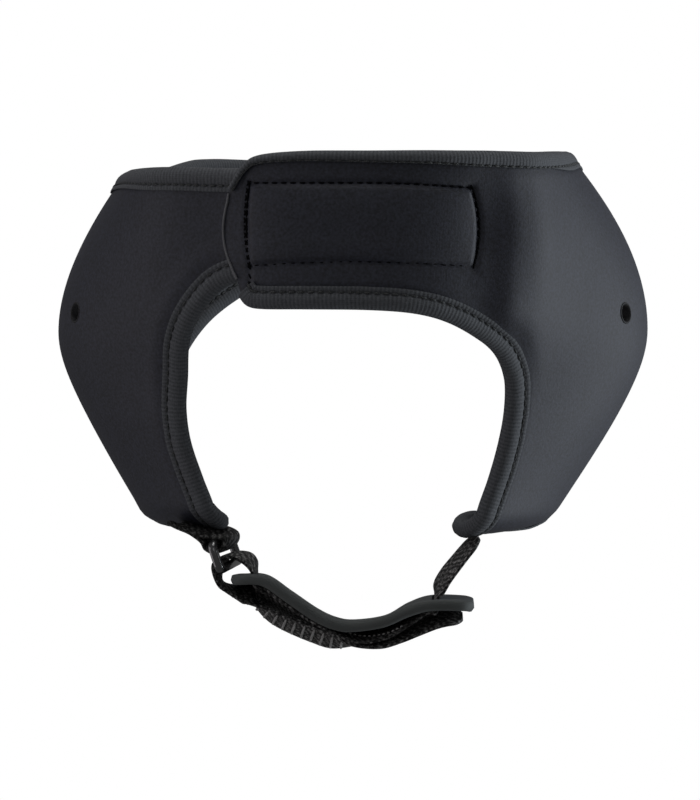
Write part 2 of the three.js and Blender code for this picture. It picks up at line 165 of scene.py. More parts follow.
@dataclass(frozen=True)
class Wall:
    """The soft wall's outer face, by azimuth in degrees and reach in mm along the wall."""

    thickness: float = 4.0
    cover_half_width: float = 102.6
    cover_height: float = 5.0
    cover_crown: float = 70.7
    cover_power: float = 1.85
    cover_lean: float = 0.66
    cover_round: float = 20.0
    band_half_width: float = 80.0
    band_height: float = 60.0
    band_taper: float = 0.16
    band_half_depth: float = 95.0
    opening_tuck: Tuck = Tuck(10.0, 18.0, -20.0)
    tip_tuck: Tuck = Tuck(11.0, -15.0, -60.0)
    far_tuck: Tuck = Tuck(12.0, 20.0, -60.0)
    side_lean: float = 0.018
    squareness: float = 2.4
    near_spread: float = 62.0
    far_spread: float = 60.0
    valley_azimuth: float = -55.0
    valley_spread: float = 7.0
    valley_depth: float = 1.2
    valley_height: float = 40.0
    valley_rise: float = 26.0
    shoulder_azimuth: float = -46.0
    shoulder_spread: float = 11.0
    shoulder_depth: float = 5.0
    shoulder_height: float = 36.0
    shoulder_rise: float = 24.0
    bend_reach: float = -55.6
    bend_radius: float = 14.0
    bend_from: float = math.radians(31.0)
    bend_to: float = math.radians(130.0)
    left_tip_lift: float = 2.4
    tail_inset: float = 7.5
    tail_ramp: tuple[float, float] = (215.0, 243.0)
    tab_azimuths: tuple[float, float] = (-130.0, -35.0)
    tab_halvings: int = 36

    def outer(self, azimuth: Array, reach: Array) -> Array:
        """Points of the outer face.

        A flattened ellipse: |x/a| and |y/b|, each to the power of the squareness, add up to 1. Its
        half width a widens into a ridge at each ear. Above its widest point the ridge draws in with
        a power of the height, and below it along a rounded slope. The lower end turns inwards along
        an arc.

        Args:
            azimuth: Degrees from the right ear, negative towards the tab.
            reach: Distance along the wall from the origin's height.

        Returns:
            Points with x, y and z on the last axis.
        """
        azimuth, reach = np.broadcast_arrays(np.asarray(azimuth, float), np.asarray(reach, float))
        angle = np.radians(azimuth)
        across, along = np.cos(angle), np.sin(angle)
        lift = 2 * self.left_tip_lift * np.maximum(-across, 0) * np.maximum(-along, 0)
        start = self.bend_reach + lift
        run = np.maximum(start - reach, 0)
        turned = np.minimum(self.bend_from + run / self.bend_radius, self.bend_to)
        flat = np.maximum(run - self.bend_radius * (self.bend_to - self.bend_from), 0)
        inward = self.bend_radius * (math.cos(self.bend_from) - np.cos(turned))
        inward = inward + flat * math.sin(self.bend_to)
        drop = self.bend_radius * (np.sin(turned) - math.sin(self.bend_from))
        drop = drop + flat * math.cos(self.bend_to)
        height = np.maximum(reach, start)
        rise = height - self.cover_height
        slope = self.cover_lean * (np.hypot(rise, self.cover_round) - self.cover_round)
        crown = np.maximum(rise, 0) ** self.cover_power / self.cover_crown
        ridge = self.cover_half_width - np.where(rise > 0, crown, slope)
        band = self.band_half_width - self.band_taper * (self.band_height - height)
        from_ear = np.degrees(np.arcsin(along))
        spread = np.where(from_ear < 0, self.near_spread, self.far_spread)
        share = np.cos(np.pi / 2 * np.minimum(np.abs(from_ear) / spread, 1)) ** 2
        near = self.band_half_depth - self.opening_tuck.at(height) - self.tip_tuck.at(height)
        far = self.band_half_depth - self.far_tuck.at(height)
        crease = self.valley_depth * bell(azimuth - self.valley_azimuth, self.valley_spread)
        crease = crease * bell(height - self.valley_height, self.valley_rise)
        swell = self.shoulder_depth * bell(azimuth - self.shoulder_azimuth, self.shoulder_spread)
        swell = swell * bell(height - self.shoulder_height, self.shoulder_rise)
        inset = inward + crease - swell + self.tail_inset * ease(*self.tail_ramp, azimuth)
        half_width = band + (ridge - band) * share - inset
        half_depth = np.where(along < 0, near, far) - inset
        power = 2 / self.squareness
        z = height - drop
        x = half_width * signed_power(across, power) + self.side_lean * (z - self.cover_height)
        y = half_depth * signed_power(along, power)
        return np.stack([x, y, z], axis=-1)

    def directions(self, azimuth: Array, reach: Array) -> tuple[Array, Array, Array]:
        """The face's own directions, by small differences.

        Args:
            azimuth: Azimuths in degrees.
            reach: Reaches in mm.

        Returns:
            The change per degree, the change per mm of reach and the outward normal.
        """
        step = 0.05
        turn = (self.outer(azimuth + step, reach) - self.outer(azimuth - step, reach)) / (2 * step)
        rise = (self.outer(azimuth, reach + step) - self.outer(azimuth, reach - step)) / (2 * step)
        return turn, rise, unit(np.cross(turn, rise))

    def point(self, azimuth: Array, reach: Array, depth: Array) -> Array:
        """Outer face moved along its normal by depth, positive outwards."""
        normal = self.directions(azimuth, reach)[2]
        return self.outer(azimuth, reach) + normal * np.asarray(depth, float)[..., None]

    def tab_azimuth(self, x: Array, reach: Array) -> Array:
        """Azimuth on the tab where the face has a given x, by halving the interval that holds it.

        Args:
            x: Places across the tab.
            reach: Reaches of those places.

        Returns:
            Azimuths in degrees.
        """
        low, high = (np.full(np.shape(x), end) for end in self.tab_azimuths)
        for _ in range(self.tab_halvings):
            middle = (low + high) / 2
            beyond = self.outer(middle, reach)[..., 0] > x
            low, high = np.where(beyond, low, middle), np.where(beyond, middle, high)
        return (low + high) / 2


WALL = Wall()


@dataclass(frozen=True)
class EdgeLine:
    """One edge of the strip as a smooth line of azimuth and reach."""

    rows: Array
    side: Side

    def at(self, share: Array) -> tuple[Array, Array]:
        """Azimuth and reach at shares of the line."""
        places = spline(self.rows, share)
        return places[..., 0], places[..., 1]

    def inward(self, share: Array, distance: Array) -> tuple[Array, Array]:
        """Places at a distance in from the line, square to it on the wall.

        The step is the wall's normal crossed with the line's direction, written in degrees and mm
        by solving the two-by-two system of the wall's own directions.

        Args:
            share: Shares of the line.
            distance: Distances in mm, negative outside the strip.

        Returns:
            Azimuth and reach.
        """
        share, distance = np.broadcast_arrays(np.asarray(share, float), np.asarray(distance, float))
        step = 0.002
        azimuth, reach = self.at(share)
        turn, rise, normal = WALL.directions(azimuth, reach)
        ahead = WALL.outer(*self.at(np.minimum(share + step, 1)))
        behind = WALL.outer(*self.at(np.maximum(share - step, 0)))
        way = unit(np.cross(normal, ahead - behind) * self.side.value)
        tt, rr, tr = ((a * b).sum(-1) for a, b in ((turn, turn), (rise, rise), (turn, rise)))
        wt, wr = (way * turn).sum(-1), (way * rise).sum(-1)
        det = tt * rr - tr**2
        azimuth = azimuth + distance * (wt * rr - wr * tr) / det
        return azimuth, reach + distance * (wr * tt - wt * tr) / det

    def even_shares(self, count: int) -> Array:
        """Shares that divide the line into steps of equal length."""
        return even_shares(lambda share: WALL.outer(*self.at(share)), count)


# Columns: top azimuth, top reach, low azimuth, low reach
TAB_ROWS = [
    (-114.5, 54, -113, 19.5),
    (-110.5, 61, -111, 16.8),
    (-106.5, 64, -107, 16),
    (-97, 65.2, -97, 16),
    (-86, 65.2, -86, 15.8),
    (-75, 65.2, -75.5, 14.6),
    (-65, 65, -66.5, 11.8),
    (-55, 64.9, -57.5, 6.8),
    (-44, 64.9, -49.8, 0),
]
# Columns: top azimuth, top reach, low azimuth, low reach, then the mirrored side's top reach, low
# azimuth and low reach
COVER_ROWS = [
    (-33, 65.4, -45.4, -9, 60, -44.6, -9),
    (-22, 66, -43.5, -20, 60, -42.9, -20),
    (-12, 66.4, -43.1, -32, 59, -42.4, -32),
    (-3, 66, -43.8, -44, 57.8, -43.8, -44),
    (5, 65, -45.4, -55, 57.2, -45.6, -54),
    (11, 63.8, -45.4, -66.5, 57.4, -45, -62.3),
    (16, 62.8, -40.3, -76.6, 58.4, -39.6, -70),
    (21, 62.5, -31.5, -80.2, 60, -30.5, -73.2),
    (26, 62.6, -21, -78.4, 61.5, -20, -73.5),
    (31, 62.9, -9, -73, 62.8, -8, -71),
    (36, 63.2, 3, -66.5, 63.8, 4, -66),
    (41, 63.5, 14, -59, 64.6, 14, -59),
    (47, 63.9, 23, -48, 64.9, 23, -48),
    (54, 64.3, 28, -32, 64.8, 28, -32),
    (62, 64.7, 34, -12, 64.6, 34, -12),
    (70, 64.9, 46, 9, 64.6, 46, 9),
    (79, 65, 66, 22, 65, 66, 22),
]
FAR_ROW = (90, 65, 90, 26)
TAIL_ROWS = [
    (228, 59.8, 226.4, 4),
    (236, 59.4, 230.4, 14.4),
    (244, 59.2, 237.2, 22.8),
    (253, 59, 248.4, 26),
    (265, 59, 265, 26),
    (280, 59, 280, 26),
    (296, 59, 296, 26),
]


def outline() -> tuple[EdgeLine, EdgeLine]:
    """The strip's edges, from the tab round both covers to the tail.

    Returns:
        The upper and the lower edge.
    """
    right = [row[:4] for row in COVER_ROWS]
    left = [(180 - row[0], row[4], 180 - row[5], row[6]) for row in reversed(COVER_ROWS)]
    rows = np.array([*TAB_ROWS, *right, FAR_ROW, *left, *TAIL_ROWS], float)
    return EdgeLine(rows[:, :2], Side.UPPER), EdgeLine(rows[:, 2:], Side.LOWER)


UPPER_EDGE, LOWER_EDGE = outline()


@dataclass
class Skin:
    """One piece's surfaces: vertices in mm, faces, and a UV in metres for each vertex."""

    points: list[Array] = field(default_factory=list)
    faces: list[list[int]] = field(default_factory=list)
    uvs: list[Array] = field(default_factory=list)
    count: int = 0

    def add(self, points: Array, quads: Array, uv: Array) -> int:
        """Adds a surface.

        Args:
            points: Vertices, with x, y and z on the last axis.
            quads: Four vertex numbers to a face, counted within this surface.
            uv: Two numbers for each vertex, in mm.

        Returns:
            The number of the surface's first vertex in the piece.
        """
        start = self.count
        flat = points.reshape(-1, 3)
        self.points.append(flat)
        self.uvs.append(uv.reshape(-1, 2) * METRE)
        self.faces.extend((quads + start).tolist())
        self.count += len(flat)
        return start

    def loops(self, rings: Array, uv: Array, closed: bool = False) -> None:
        """Adds a tube of rings, joined round each ring and from ring to ring.

        Args:
            rings: Points as ring, place in the ring, coordinate.
            uv: Two numbers for each point, in mm.
            closed: Joins the last ring to the first; otherwise both ends get a cap.
        """
        rows, cols = rings.shape[:2]
        start = self.add(rings, ring_quads(rows, cols, closed), uv)
        if not closed:
            self.faces.append(list(range(start, start + cols)))
            self.faces.append(list(range(start + (rows - 1) * cols, start + rows * cols)))


def ring_quads(rows: int, cols: int, closed: bool) -> Array:
    """Faces between neighbouring rings, each ring closed on itself.

    Args:
        rows: Number of rings.
        cols: Points in a ring.
        closed: Joins the last ring to the first.

    Returns:
        Four vertex numbers to a face.
    """
    i, j = np.indices((rows if closed else rows - 1, cols))
    after, beside = (i + 1) % rows, (j + 1) % cols
    quads = [i * cols + j, after * cols + j, after * cols + beside, i * cols + beside]
    return np.stack(quads, axis=-1).reshape(-1, 4)


def cell_quads(cols: int, keep: Array) -> Array:
    """Faces of the kept cells of an open grid.

    Args:
        cols: Grid columns.
        keep: Which cells of the grid have a face.

    Returns:
        Four vertex numbers to a face.
    """
    i, j = np.nonzero(keep)
    first, below = i * cols + j, (i + 1) * cols + j
    return np.stack([first, below, below + 1, first + 1], axis=-1)


def border_quads(rows: int, cols: int, keep: Array) -> Array:
    """Faces that join two equal grids along every border of their kept cells.

    Each grid edge with a kept cell on just one side gives a face from the first grid to the second,
    whose vertices follow the first grid's.

    Args:
        rows: Grid rows.
        cols: Grid columns.
        keep: Which cells of the grid have a face.

    Returns:
        Four vertex numbers to a face.
    """
    framed = np.pad(keep.astype(int), 1)
    second = rows * cols
    i, j = np.nonzero(framed[1:-1, 1:] != framed[1:-1, :-1])
    upright = np.stack([i * cols + j, (i + 1) * cols + j], axis=-1)
    i, j = np.nonzero(framed[1:, 1:-1] != framed[:-1, 1:-1])
    level = np.stack([i * cols + j, i * cols + j + 1], axis=-1)
    edges = np.vstack([upright, level])
    return np.column_stack([edges[:, 0], edges[:, 1], edges[:, 1] + second, edges[:, 0] + second])


def slab(skin: Skin, top: Array, bottom: Array, keep: Array, uv: Array) -> None:
    """Adds two equal grids as the faces of a slab, with walls along every border of the kept cells.

    Args:
        skin: Piece that gets the slab.
        top: Grid of points of the outer face.
        bottom: Grid of points of the inner face.
        keep: Which cells of the grids have a face.
        uv: Two numbers for each grid point, in mm.
    """
    rows, cols = top.shape[:2]
    cells = cell_quads(cols, keep)
    quads = np.vstack([cells, cells[:, ::-1] + rows * cols, border_quads(rows, cols, keep)])
    skin.add(np.stack([top, bottom]), quads, np.stack([uv, uv]))


BEAD_RINGS, BEAD_SIDES = 7, 6
BEAD_CAP = 0.98  # share of a bead's half length where its end is closed
BEAD_ARCH = 0.6  # rise of a bead's middle in radii


def stitches(
    skin: Skin, centres: Array, along: Array, up: Array, length: float, radius: float
) -> None:
    """Adds a short arched bead of thread at each centre.

    With t from -1 to 1 along a bead, its radius is radius times the root of 1 - t to the fourth,
    and its middle line rises by the arch times (1 - t squared).

    Args:
        skin: Piece that gets the beads.
        centres: One point to a bead.
        along: Direction of each bead.
        up: Outward direction at each bead.
        length: Length of a bead.
        radius: Thickest half width.
    """
    along, up = unit(along), unit(up)
    beside = np.cross(along, up)[:, None, None]
    t = np.linspace(-BEAD_CAP, BEAD_CAP, BEAD_RINGS)[None, :, None, None]
    turn = round_angles(BEAD_SIDES)[None, None, :, None]
    girth = radius * np.sqrt(1 - t**4)
    lift = BEAD_ARCH * radius * (1 - t**2)
    rings = centres[:, None, None] + along[:, None, None] * t * length / 2
    rings = rings + up[:, None, None] * (lift + girth * np.cos(turn))
    rings = rings + beside * girth * np.sin(turn)
    uv = paired(t[..., 0] * length / 2, turn[..., 0] * radius)
    for ring in rings:
        skin.loops(ring, uv[0])


class Signal:
    """A shader socket that can stand in a Python expression; each operator adds a Math node."""

    def __init__(self, shader: "Shader", socket: bpy.types.NodeSocket) -> None:
        """Wraps a socket of a shader."""
        self.shader = shader
        self.socket = socket

    def __add__(self, other: "Signal | float") -> "Signal":
        """Sum."""
        return self.shader.math("ADD", self, other)

    __radd__ = __add__

    def __sub__(self, other: "Signal | float") -> "Signal":
        """Difference."""
        return self.shader.math("SUBTRACT", self, other)

    def __rsub__(self, other: "Signal | float") -> "Signal":
        """Difference from a number."""
        return self.shader.math("SUBTRACT", other, self)

    def __mul__(self, other: "Signal | float") -> "Signal":
        """Product."""
        return self.shader.math("MULTIPLY", self, other)

    __rmul__ = __mul__


class Shader:
    """The node tree of one material or of the world."""

    mix_share, mix_low, mix_high, mix_result = 0, 6, 7, 2  # sockets of a colour's Mix node

    def __init__(self, tree: bpy.types.NodeTree) -> None:
        """Takes over a tree and empties it."""
        self.tree = tree
        tree.nodes.clear()

    def node(self, kind: str, settings: dict, values: dict, output: int | str = 0) -> Signal:
        """Adds any node.

        Args:
            kind: Blender's type name.
            settings: Attributes, set before the sockets.
            values: Numbers, tuples or signals for the sockets, by name or number.
            output: Socket to return.

        Returns:
            The chosen output.
        """
        made = self.tree.nodes.new(kind)
        for name, value in settings.items():
            setattr(made, name, value)
        for name, value in values.items():
            if isinstance(value, Signal):
                self.tree.links.new(value.socket, made.inputs[name])
            else:
                made.inputs[name].default_value = value
        return Signal(self, made.outputs[output] if len(made.outputs) else None)

    def math(self, operation: str, *terms: "Signal | float") -> Signal:
        """Adds a Math node."""
        return self.node("ShaderNodeMath", {"operation": operation}, dict(enumerate(terms)))

    def wave(self, distance: Signal, pitch: float) -> Signal:
        """Wave from 0 to 1 with that pitch in metres: half of 1 plus the sine."""
        return self.math("SINE", distance * (2 * math.pi / pitch)) * 0.5 + 0.5

    def coordinates(self, kind: str) -> Signal:
        """The piece's own coordinates of one kind."""
        return self.node("ShaderNodeTexCoord", {}, {}, kind)

    def noise(self, scale: float, detail: float) -> Signal:
        """Noise in the piece's own coordinates, scale in lumps per metre."""
        sockets = {"Vector": self.coordinates("Object"), "Scale": scale, "Detail": detail}
        return self.node("ShaderNodeTexNoise", {}, sockets)

    def uv(self) -> tuple[Signal, Signal]:
        """The piece's own map.

        Returns:
            Metres along and across the piece.
        """
        split = self.node("ShaderNodeSeparateXYZ", {}, {"Vector": self.coordinates("UV")})
        return split, Signal(self, split.socket.node.outputs["Y"])

    def blend(self, share: Signal, low: tuple, high: tuple) -> Signal:
        """Mix of two colours."""
        sockets = {self.mix_share: share, self.mix_low: (*low, 1), self.mix_high: (*high, 1)}
        return self.node("ShaderNodeMix", {"data_type": "RGBA"}, sockets, self.mix_result)

    def bump(self, height: Signal, strength: float, distance: float) -> Signal:
        """Bump from a height, for a normal socket."""
        sockets = {"Strength": strength, "Distance": distance, "Height": height}
        return self.node("ShaderNodeBump", {}, sockets)


Colour = tuple[float, float, float]
Relief = tuple[float, float]  # a bump's strength, and its height in metres
FINE, COARSE = 3, 2  # steps of detail in a noise
SHEEN_ROUGHNESS = 0.35
SHEEN_TINT = (0.86, 0.9, 1.0, 1)


@dataclass(frozen=True)
class Finish:
    """A surface finish between two colours; each kind has its own pattern."""

    name: str
    dark: Colour
    light: Colour
    roughness: float = 0.7
    sheen: float = 0.0
    specular: float = 0.3
    relief: Relief = (0.5, 0.0001)

    def material(self) -> bpy.types.Material:
        """Makes the finish into a material, or finds the one made before.

        Returns:
            The material.
        """
        known = bpy.data.materials.get(self.name)
        if known is not None:
            return known
        made = bpy.data.materials.new(self.name)
        made.use_nodes = True
        shader = Shader(made.node_tree)
        surface = shader.node("ShaderNodeBsdfPrincipled", {}, {
            "Roughness": self.roughness,
            "Sheen Weight": self.sheen,
            "Sheen Roughness": SHEEN_ROUGHNESS,
            "Sheen Tint": SHEEN_TINT,
            "Specular IOR Level": self.specular,
            **self.paint(shader),
        })
        shader.node("ShaderNodeOutputMaterial", {}, {"Surface": surface})
        made.diffuse_color = (*self.light, 1)
        return made

    def paint(self, shader: Shader) -> dict:
        """The pattern's share mixes the two colours, and its height feeds the bump.

        Args:
            shader: The material's node tree.

        Returns:
            What feeds the surface's sockets, by name.
        """
        share, height = self.pattern(shader)
        return {
            "Base Color": self.colour(shader, share),
            "Normal": shader.bump(height, *self.relief),
        }

    def pattern(self, shader: Shader) -> tuple[Signal, Signal]:
        """Share of the light colour and height of the relief, as each kind has them."""
        raise NotImplementedError

    def colour(self, shader: Shader, share: Signal) -> Signal:
        """Mix of the finish's two colours."""
        return shader.blend(share, self.dark, self.light)


@dataclass(frozen=True)
class Jersey(Finish):
    """Knitted face of the neoprene: faint loops under a mottle of two scales."""

    loop: float = 0.0009
    loop_height: float = 0.1
    grain: float = 1100.0
    drift: float = 120.0
    grain_share: float = 2.6
    drift_share: float = 0.35
    floor: float = 1.0
    relief: Relief = (0.35, 0.00025)

    def pattern(self, shader: Shader) -> tuple[Signal, Signal]:
        """Grain and slow drift make the colour; a little of the loops and much grain the relief.

        Args:
            shader: The material's node tree.

        Returns:
            Share of the light colour and height of the relief.
        """
        along, across = shader.uv()
        knit = shader.wave(along, self.loop) * shader.wave(across, self.loop)
        grain, drift = shader.noise(self.grain, FINE), shader.noise(self.drift, COARSE)
        share = grain * self.grain_share + drift * self.drift_share - self.floor
        return share, knit * self.loop_height + grain * (1 - self.loop_height)


@dataclass(frozen=True)
class RibbedTape(Finish):
    """Elastic edge tape with ribs across it."""

    rib: float = 0.0013
    rib_share: float = 0.26
    rib_height: float = 0.55
    yarn: float = 0.0007
    yarn_share: float = 0.1
    grain: float = 1500.0
    grain_share: float = 0.64
    bend: float = 0.0005
    relief: Relief = (0.55, 0.0003)

    def pattern(self, shader: Shader) -> tuple[Signal, Signal]:
        """Ribs darken in their valleys and stand up in the relief; a fine noise frays them.

        Args:
            shader: The material's node tree.

        Returns:
            Share of the light colour and height of the relief.
        """
        along, across = shader.uv()
        fray = shader.noise(self.grain, COARSE)
        rib = shader.wave(along + fray * self.bend, self.rib)
        yarn = shader.wave(across, self.yarn)
        share = rib * self.rib_share + fray * self.grain_share + yarn * self.yarn_share
        return share, rib * self.rib_height + fray * (1 - self.rib_height)


@dataclass(frozen=True)
class Webbing(Finish):
    """Woven strap with slanting yarns."""

    yarn: float = 0.0023
    yarn_height: float = 0.6
    slant: float = 0.4
    fray: float = 350.0
    bend: float = 0.004
    fleck: float = 900.0
    contrast: float = 4.0
    threshold: float = 1.6
    paleness: float = 0.05
    relief: Relief = (0.9, 0.0004)

    def pattern(self, shader: Shader) -> tuple[Signal, Signal]:
        """A slanting wave, bent by a slow noise, is the weave; a fine noise leaves flecks light.

        Args:
            shader: The material's node tree.

        Returns:
            Share of the light colour and height of the relief.
        """
        along, across = shader.uv()
        fray, fleck = shader.noise(self.fray, COARSE), shader.noise(self.fleck, FINE)
        weave = shader.wave(along + across * self.slant + fray * self.bend, self.yarn)
        share = weave * (fleck * self.contrast - self.threshold) + self.paleness
        return share, weave * self.yarn_height + fleck * (1 - self.yarn_height)


@dataclass(frozen=True)
class Thread(Finish):
    """Sewing thread, twisted."""

    twist: float = 0.0006
    slant: float = 0.7

    def pattern(self, shader: Shader) -> tuple[Signal, Signal]:
        """A slanting wave along the bead is the twist.

        Args:
            shader: The material's node tree.

        Returns:
            Share of the light colour and height of the relief.
        """
        along, across = shader.uv()
        twist = shader.wave(along + across * self.slant, self.twist)
        return twist, twist


@dataclass(frozen=True)
class Foam(Finish):
    """Closed-cell foam with a skin of fine pits."""

    pit: float = 2200.0
    pit_share: float = 0.4
    drift: float = 80.0
    relief: Relief = (0.25, 0.0002)

    def pattern(self, shader: Shader) -> tuple[Signal, Signal]:
        """Pits from a fine noise and a slow drift of tone.

        Args:
            shader: The material's node tree.

        Returns:
            Share of the light colour and height of the relief.
        """
        pits, drift = shader.noise(self.pit, FINE), shader.noise(self.drift, COARSE)
        return pits * self.pit_share + drift * (1 - self.pit_share), pits


@dataclass(frozen=True)
class Plastic(Finish):
    """Moulded gloss plastic with faint smears and no relief."""

    smear: float = 260.0
    dulling: float = 0.18

    def paint(self, shader: Shader) -> dict:
        """Smears change the roughness; the colour hardly varies.

        Args:
            shader: The material's node tree.

        Returns:
            What feeds the surface's sockets, by name.
        """
        smear = shader.noise(self.smear, FINE)
        return {
            "Base Color": self.colour(shader, smear),
            "Roughness": smear * self.dulling + self.roughness,
            "Coat Weight": 1.0,
        }


@dataclass(frozen=True)
class HookTape(Finish):
    """Field of small hooks."""

    pitch: float = 0.0012
    relief: Relief = (1.0, 0.0006)

    def pattern(self, shader: Shader) -> tuple[Signal, Signal]:
        """Rows of hooks: the product of a wave along and a wave across.

        Args:
            shader: The material's node tree.

        Returns:
            Share of the light colour and height of the relief.
        """
        along, across = shader.uv()
        hooks = shader.wave(along, self.pitch) * shader.wave(across, self.pitch)
        return hooks, hooks


# After the two colours: roughness, sheen and specular level
JERSEY = Jersey("jersey_neoprene", (0.004, 0.0045, 0.009), (0.02, 0.0222, 0.036), 0.66, 0.0, 0.5)
TAPE = RibbedTape("ribbed_edge_tape", (0.02, 0.022, 0.025), (0.11, 0.115, 0.125), 0.8, 0.0, 0.3)
SEAM_THREAD = Thread("seam_thread", (0.012, 0.013, 0.013), (0.06, 0.063, 0.064), 0.6)
# Near-black thread, darker than the jersey: it also stands in for the shade in the tab's stitch
# grooves (painted shade)
TAB_THREAD_AND_SHADE = Thread("tab_thread_painted_shade", (0.0005, 0.0005, 0.0005), (0.006, 0.006, 0.007), 0.8, 0.0, 0.05)
STRAP_WEB = Webbing("strap_webbing", (0.004, 0.004, 0.004), (0.27, 0.264, 0.258), 0.65, 0.0, 0.12)
# Same webbing as the chin strap, made darker: painted shade for the anchor loops
ANCHOR_WEB_PAINTED_SHADE = Webbing("anchor_webbing_painted_shade", (0.003, 0.003, 0.003), (0.14, 0.137, 0.134), 0.7, 0.0, 0.12)
STRAP_THREAD = Thread("strap_stitch_thread", (0.4, 0.39, 0.38), (0.8, 0.79, 0.78), 0.7)
BAR_YARN = Thread("light_bar_yarn", (0.12, 0.118, 0.116), (0.4, 0.39, 0.38), 0.7)
PAD_FOAM = Foam("chin_pad_foam", (0.05, 0.055, 0.053), (0.08, 0.086, 0.084), 0.72, 0.05, 0.3)
# Bare cut foam as in the hole rims, but far paler: painted highlight along the tab's cut edge
EDGE_FOAM_PAINTED_HIGHLIGHT = Foam("bare_edge_foam_painted_highlight", (0.08, 0.08, 0.086), (0.15, 0.15, 0.16), 0.8)
CUT_FOAM = Foam("cut_neoprene_foam", (0.008, 0.008, 0.009), (0.03, 0.03, 0.032), 0.8)
BUCKLE_PLASTIC = Plastic(
    "buckle_gloss_plastic", (0.01, 0.01, 0.011), (0.03, 0.03, 0.032), 0.12, 0.0, 1.0
)
HOOKS = HookTape("hook_tape", (0.004, 0.004, 0.004), (0.02, 0.02, 0.02), 0.7)


def make_piece(
    name: str,
    skin: Skin,
    finish: Finish,
    stands_for: tuple[str, ...] = (),
) -> bpy.types.Object:
    """Writes a skin into a mesh object that rides on the guard.

    Args:
        name: Piece's name.
        skin: Its surfaces.
        finish: Its finish.
        stands_for: CAD nodes that it replaces.

    Returns:
        The new object.
    """
    mesh = bpy.data.meshes.new(name)
    mesh.from_pydata((np.vstack(skin.points) * METRE).tolist(), [], skin.faces)
    layer = mesh.uv_layers.new(name="weave")
    corner = np.zeros(len(mesh.loops), np.int32)
    mesh.loops.foreach_get("vertex_index", corner)
    layer.data.foreach_set("uv", np.vstack(skin.uvs)[corner].astype(np.float32).ravel())
    work = bmesh.new()
    work.from_mesh(mesh)
    bmesh.ops.remove_doubles(work, verts=work.verts, dist=WELD)
    bmesh.ops.recalc_face_normals(work, faces=work.faces)
    work.to_mesh(mesh)
    work.free()
    mesh.shade_smooth()
    mesh.set_sharp_from_angle(angle=CREASE)
    mesh.materials.append(finish.material())
    made = bpy.data.objects.new(name, mesh)
    bpy.context.scene.collection.objects.link(made)
    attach(made, ROOT)
    if stands_for:
        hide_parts(*stands_for)
    log.info("%s: %d faces", name, len(mesh.polygons))
    return made


@dataclass(frozen=True)
class Bow:
    """A line that bows out as a parabola about its middle."""

    level: float
    bulge: float
    middle: float
    half: float

    def at(self, place: Array) -> Array:
        """The level plus the bulge times 1 minus the squared share of the half length."""
        return self.level + self.bulge * (1 - ((place - self.middle) / self.half) ** 2)


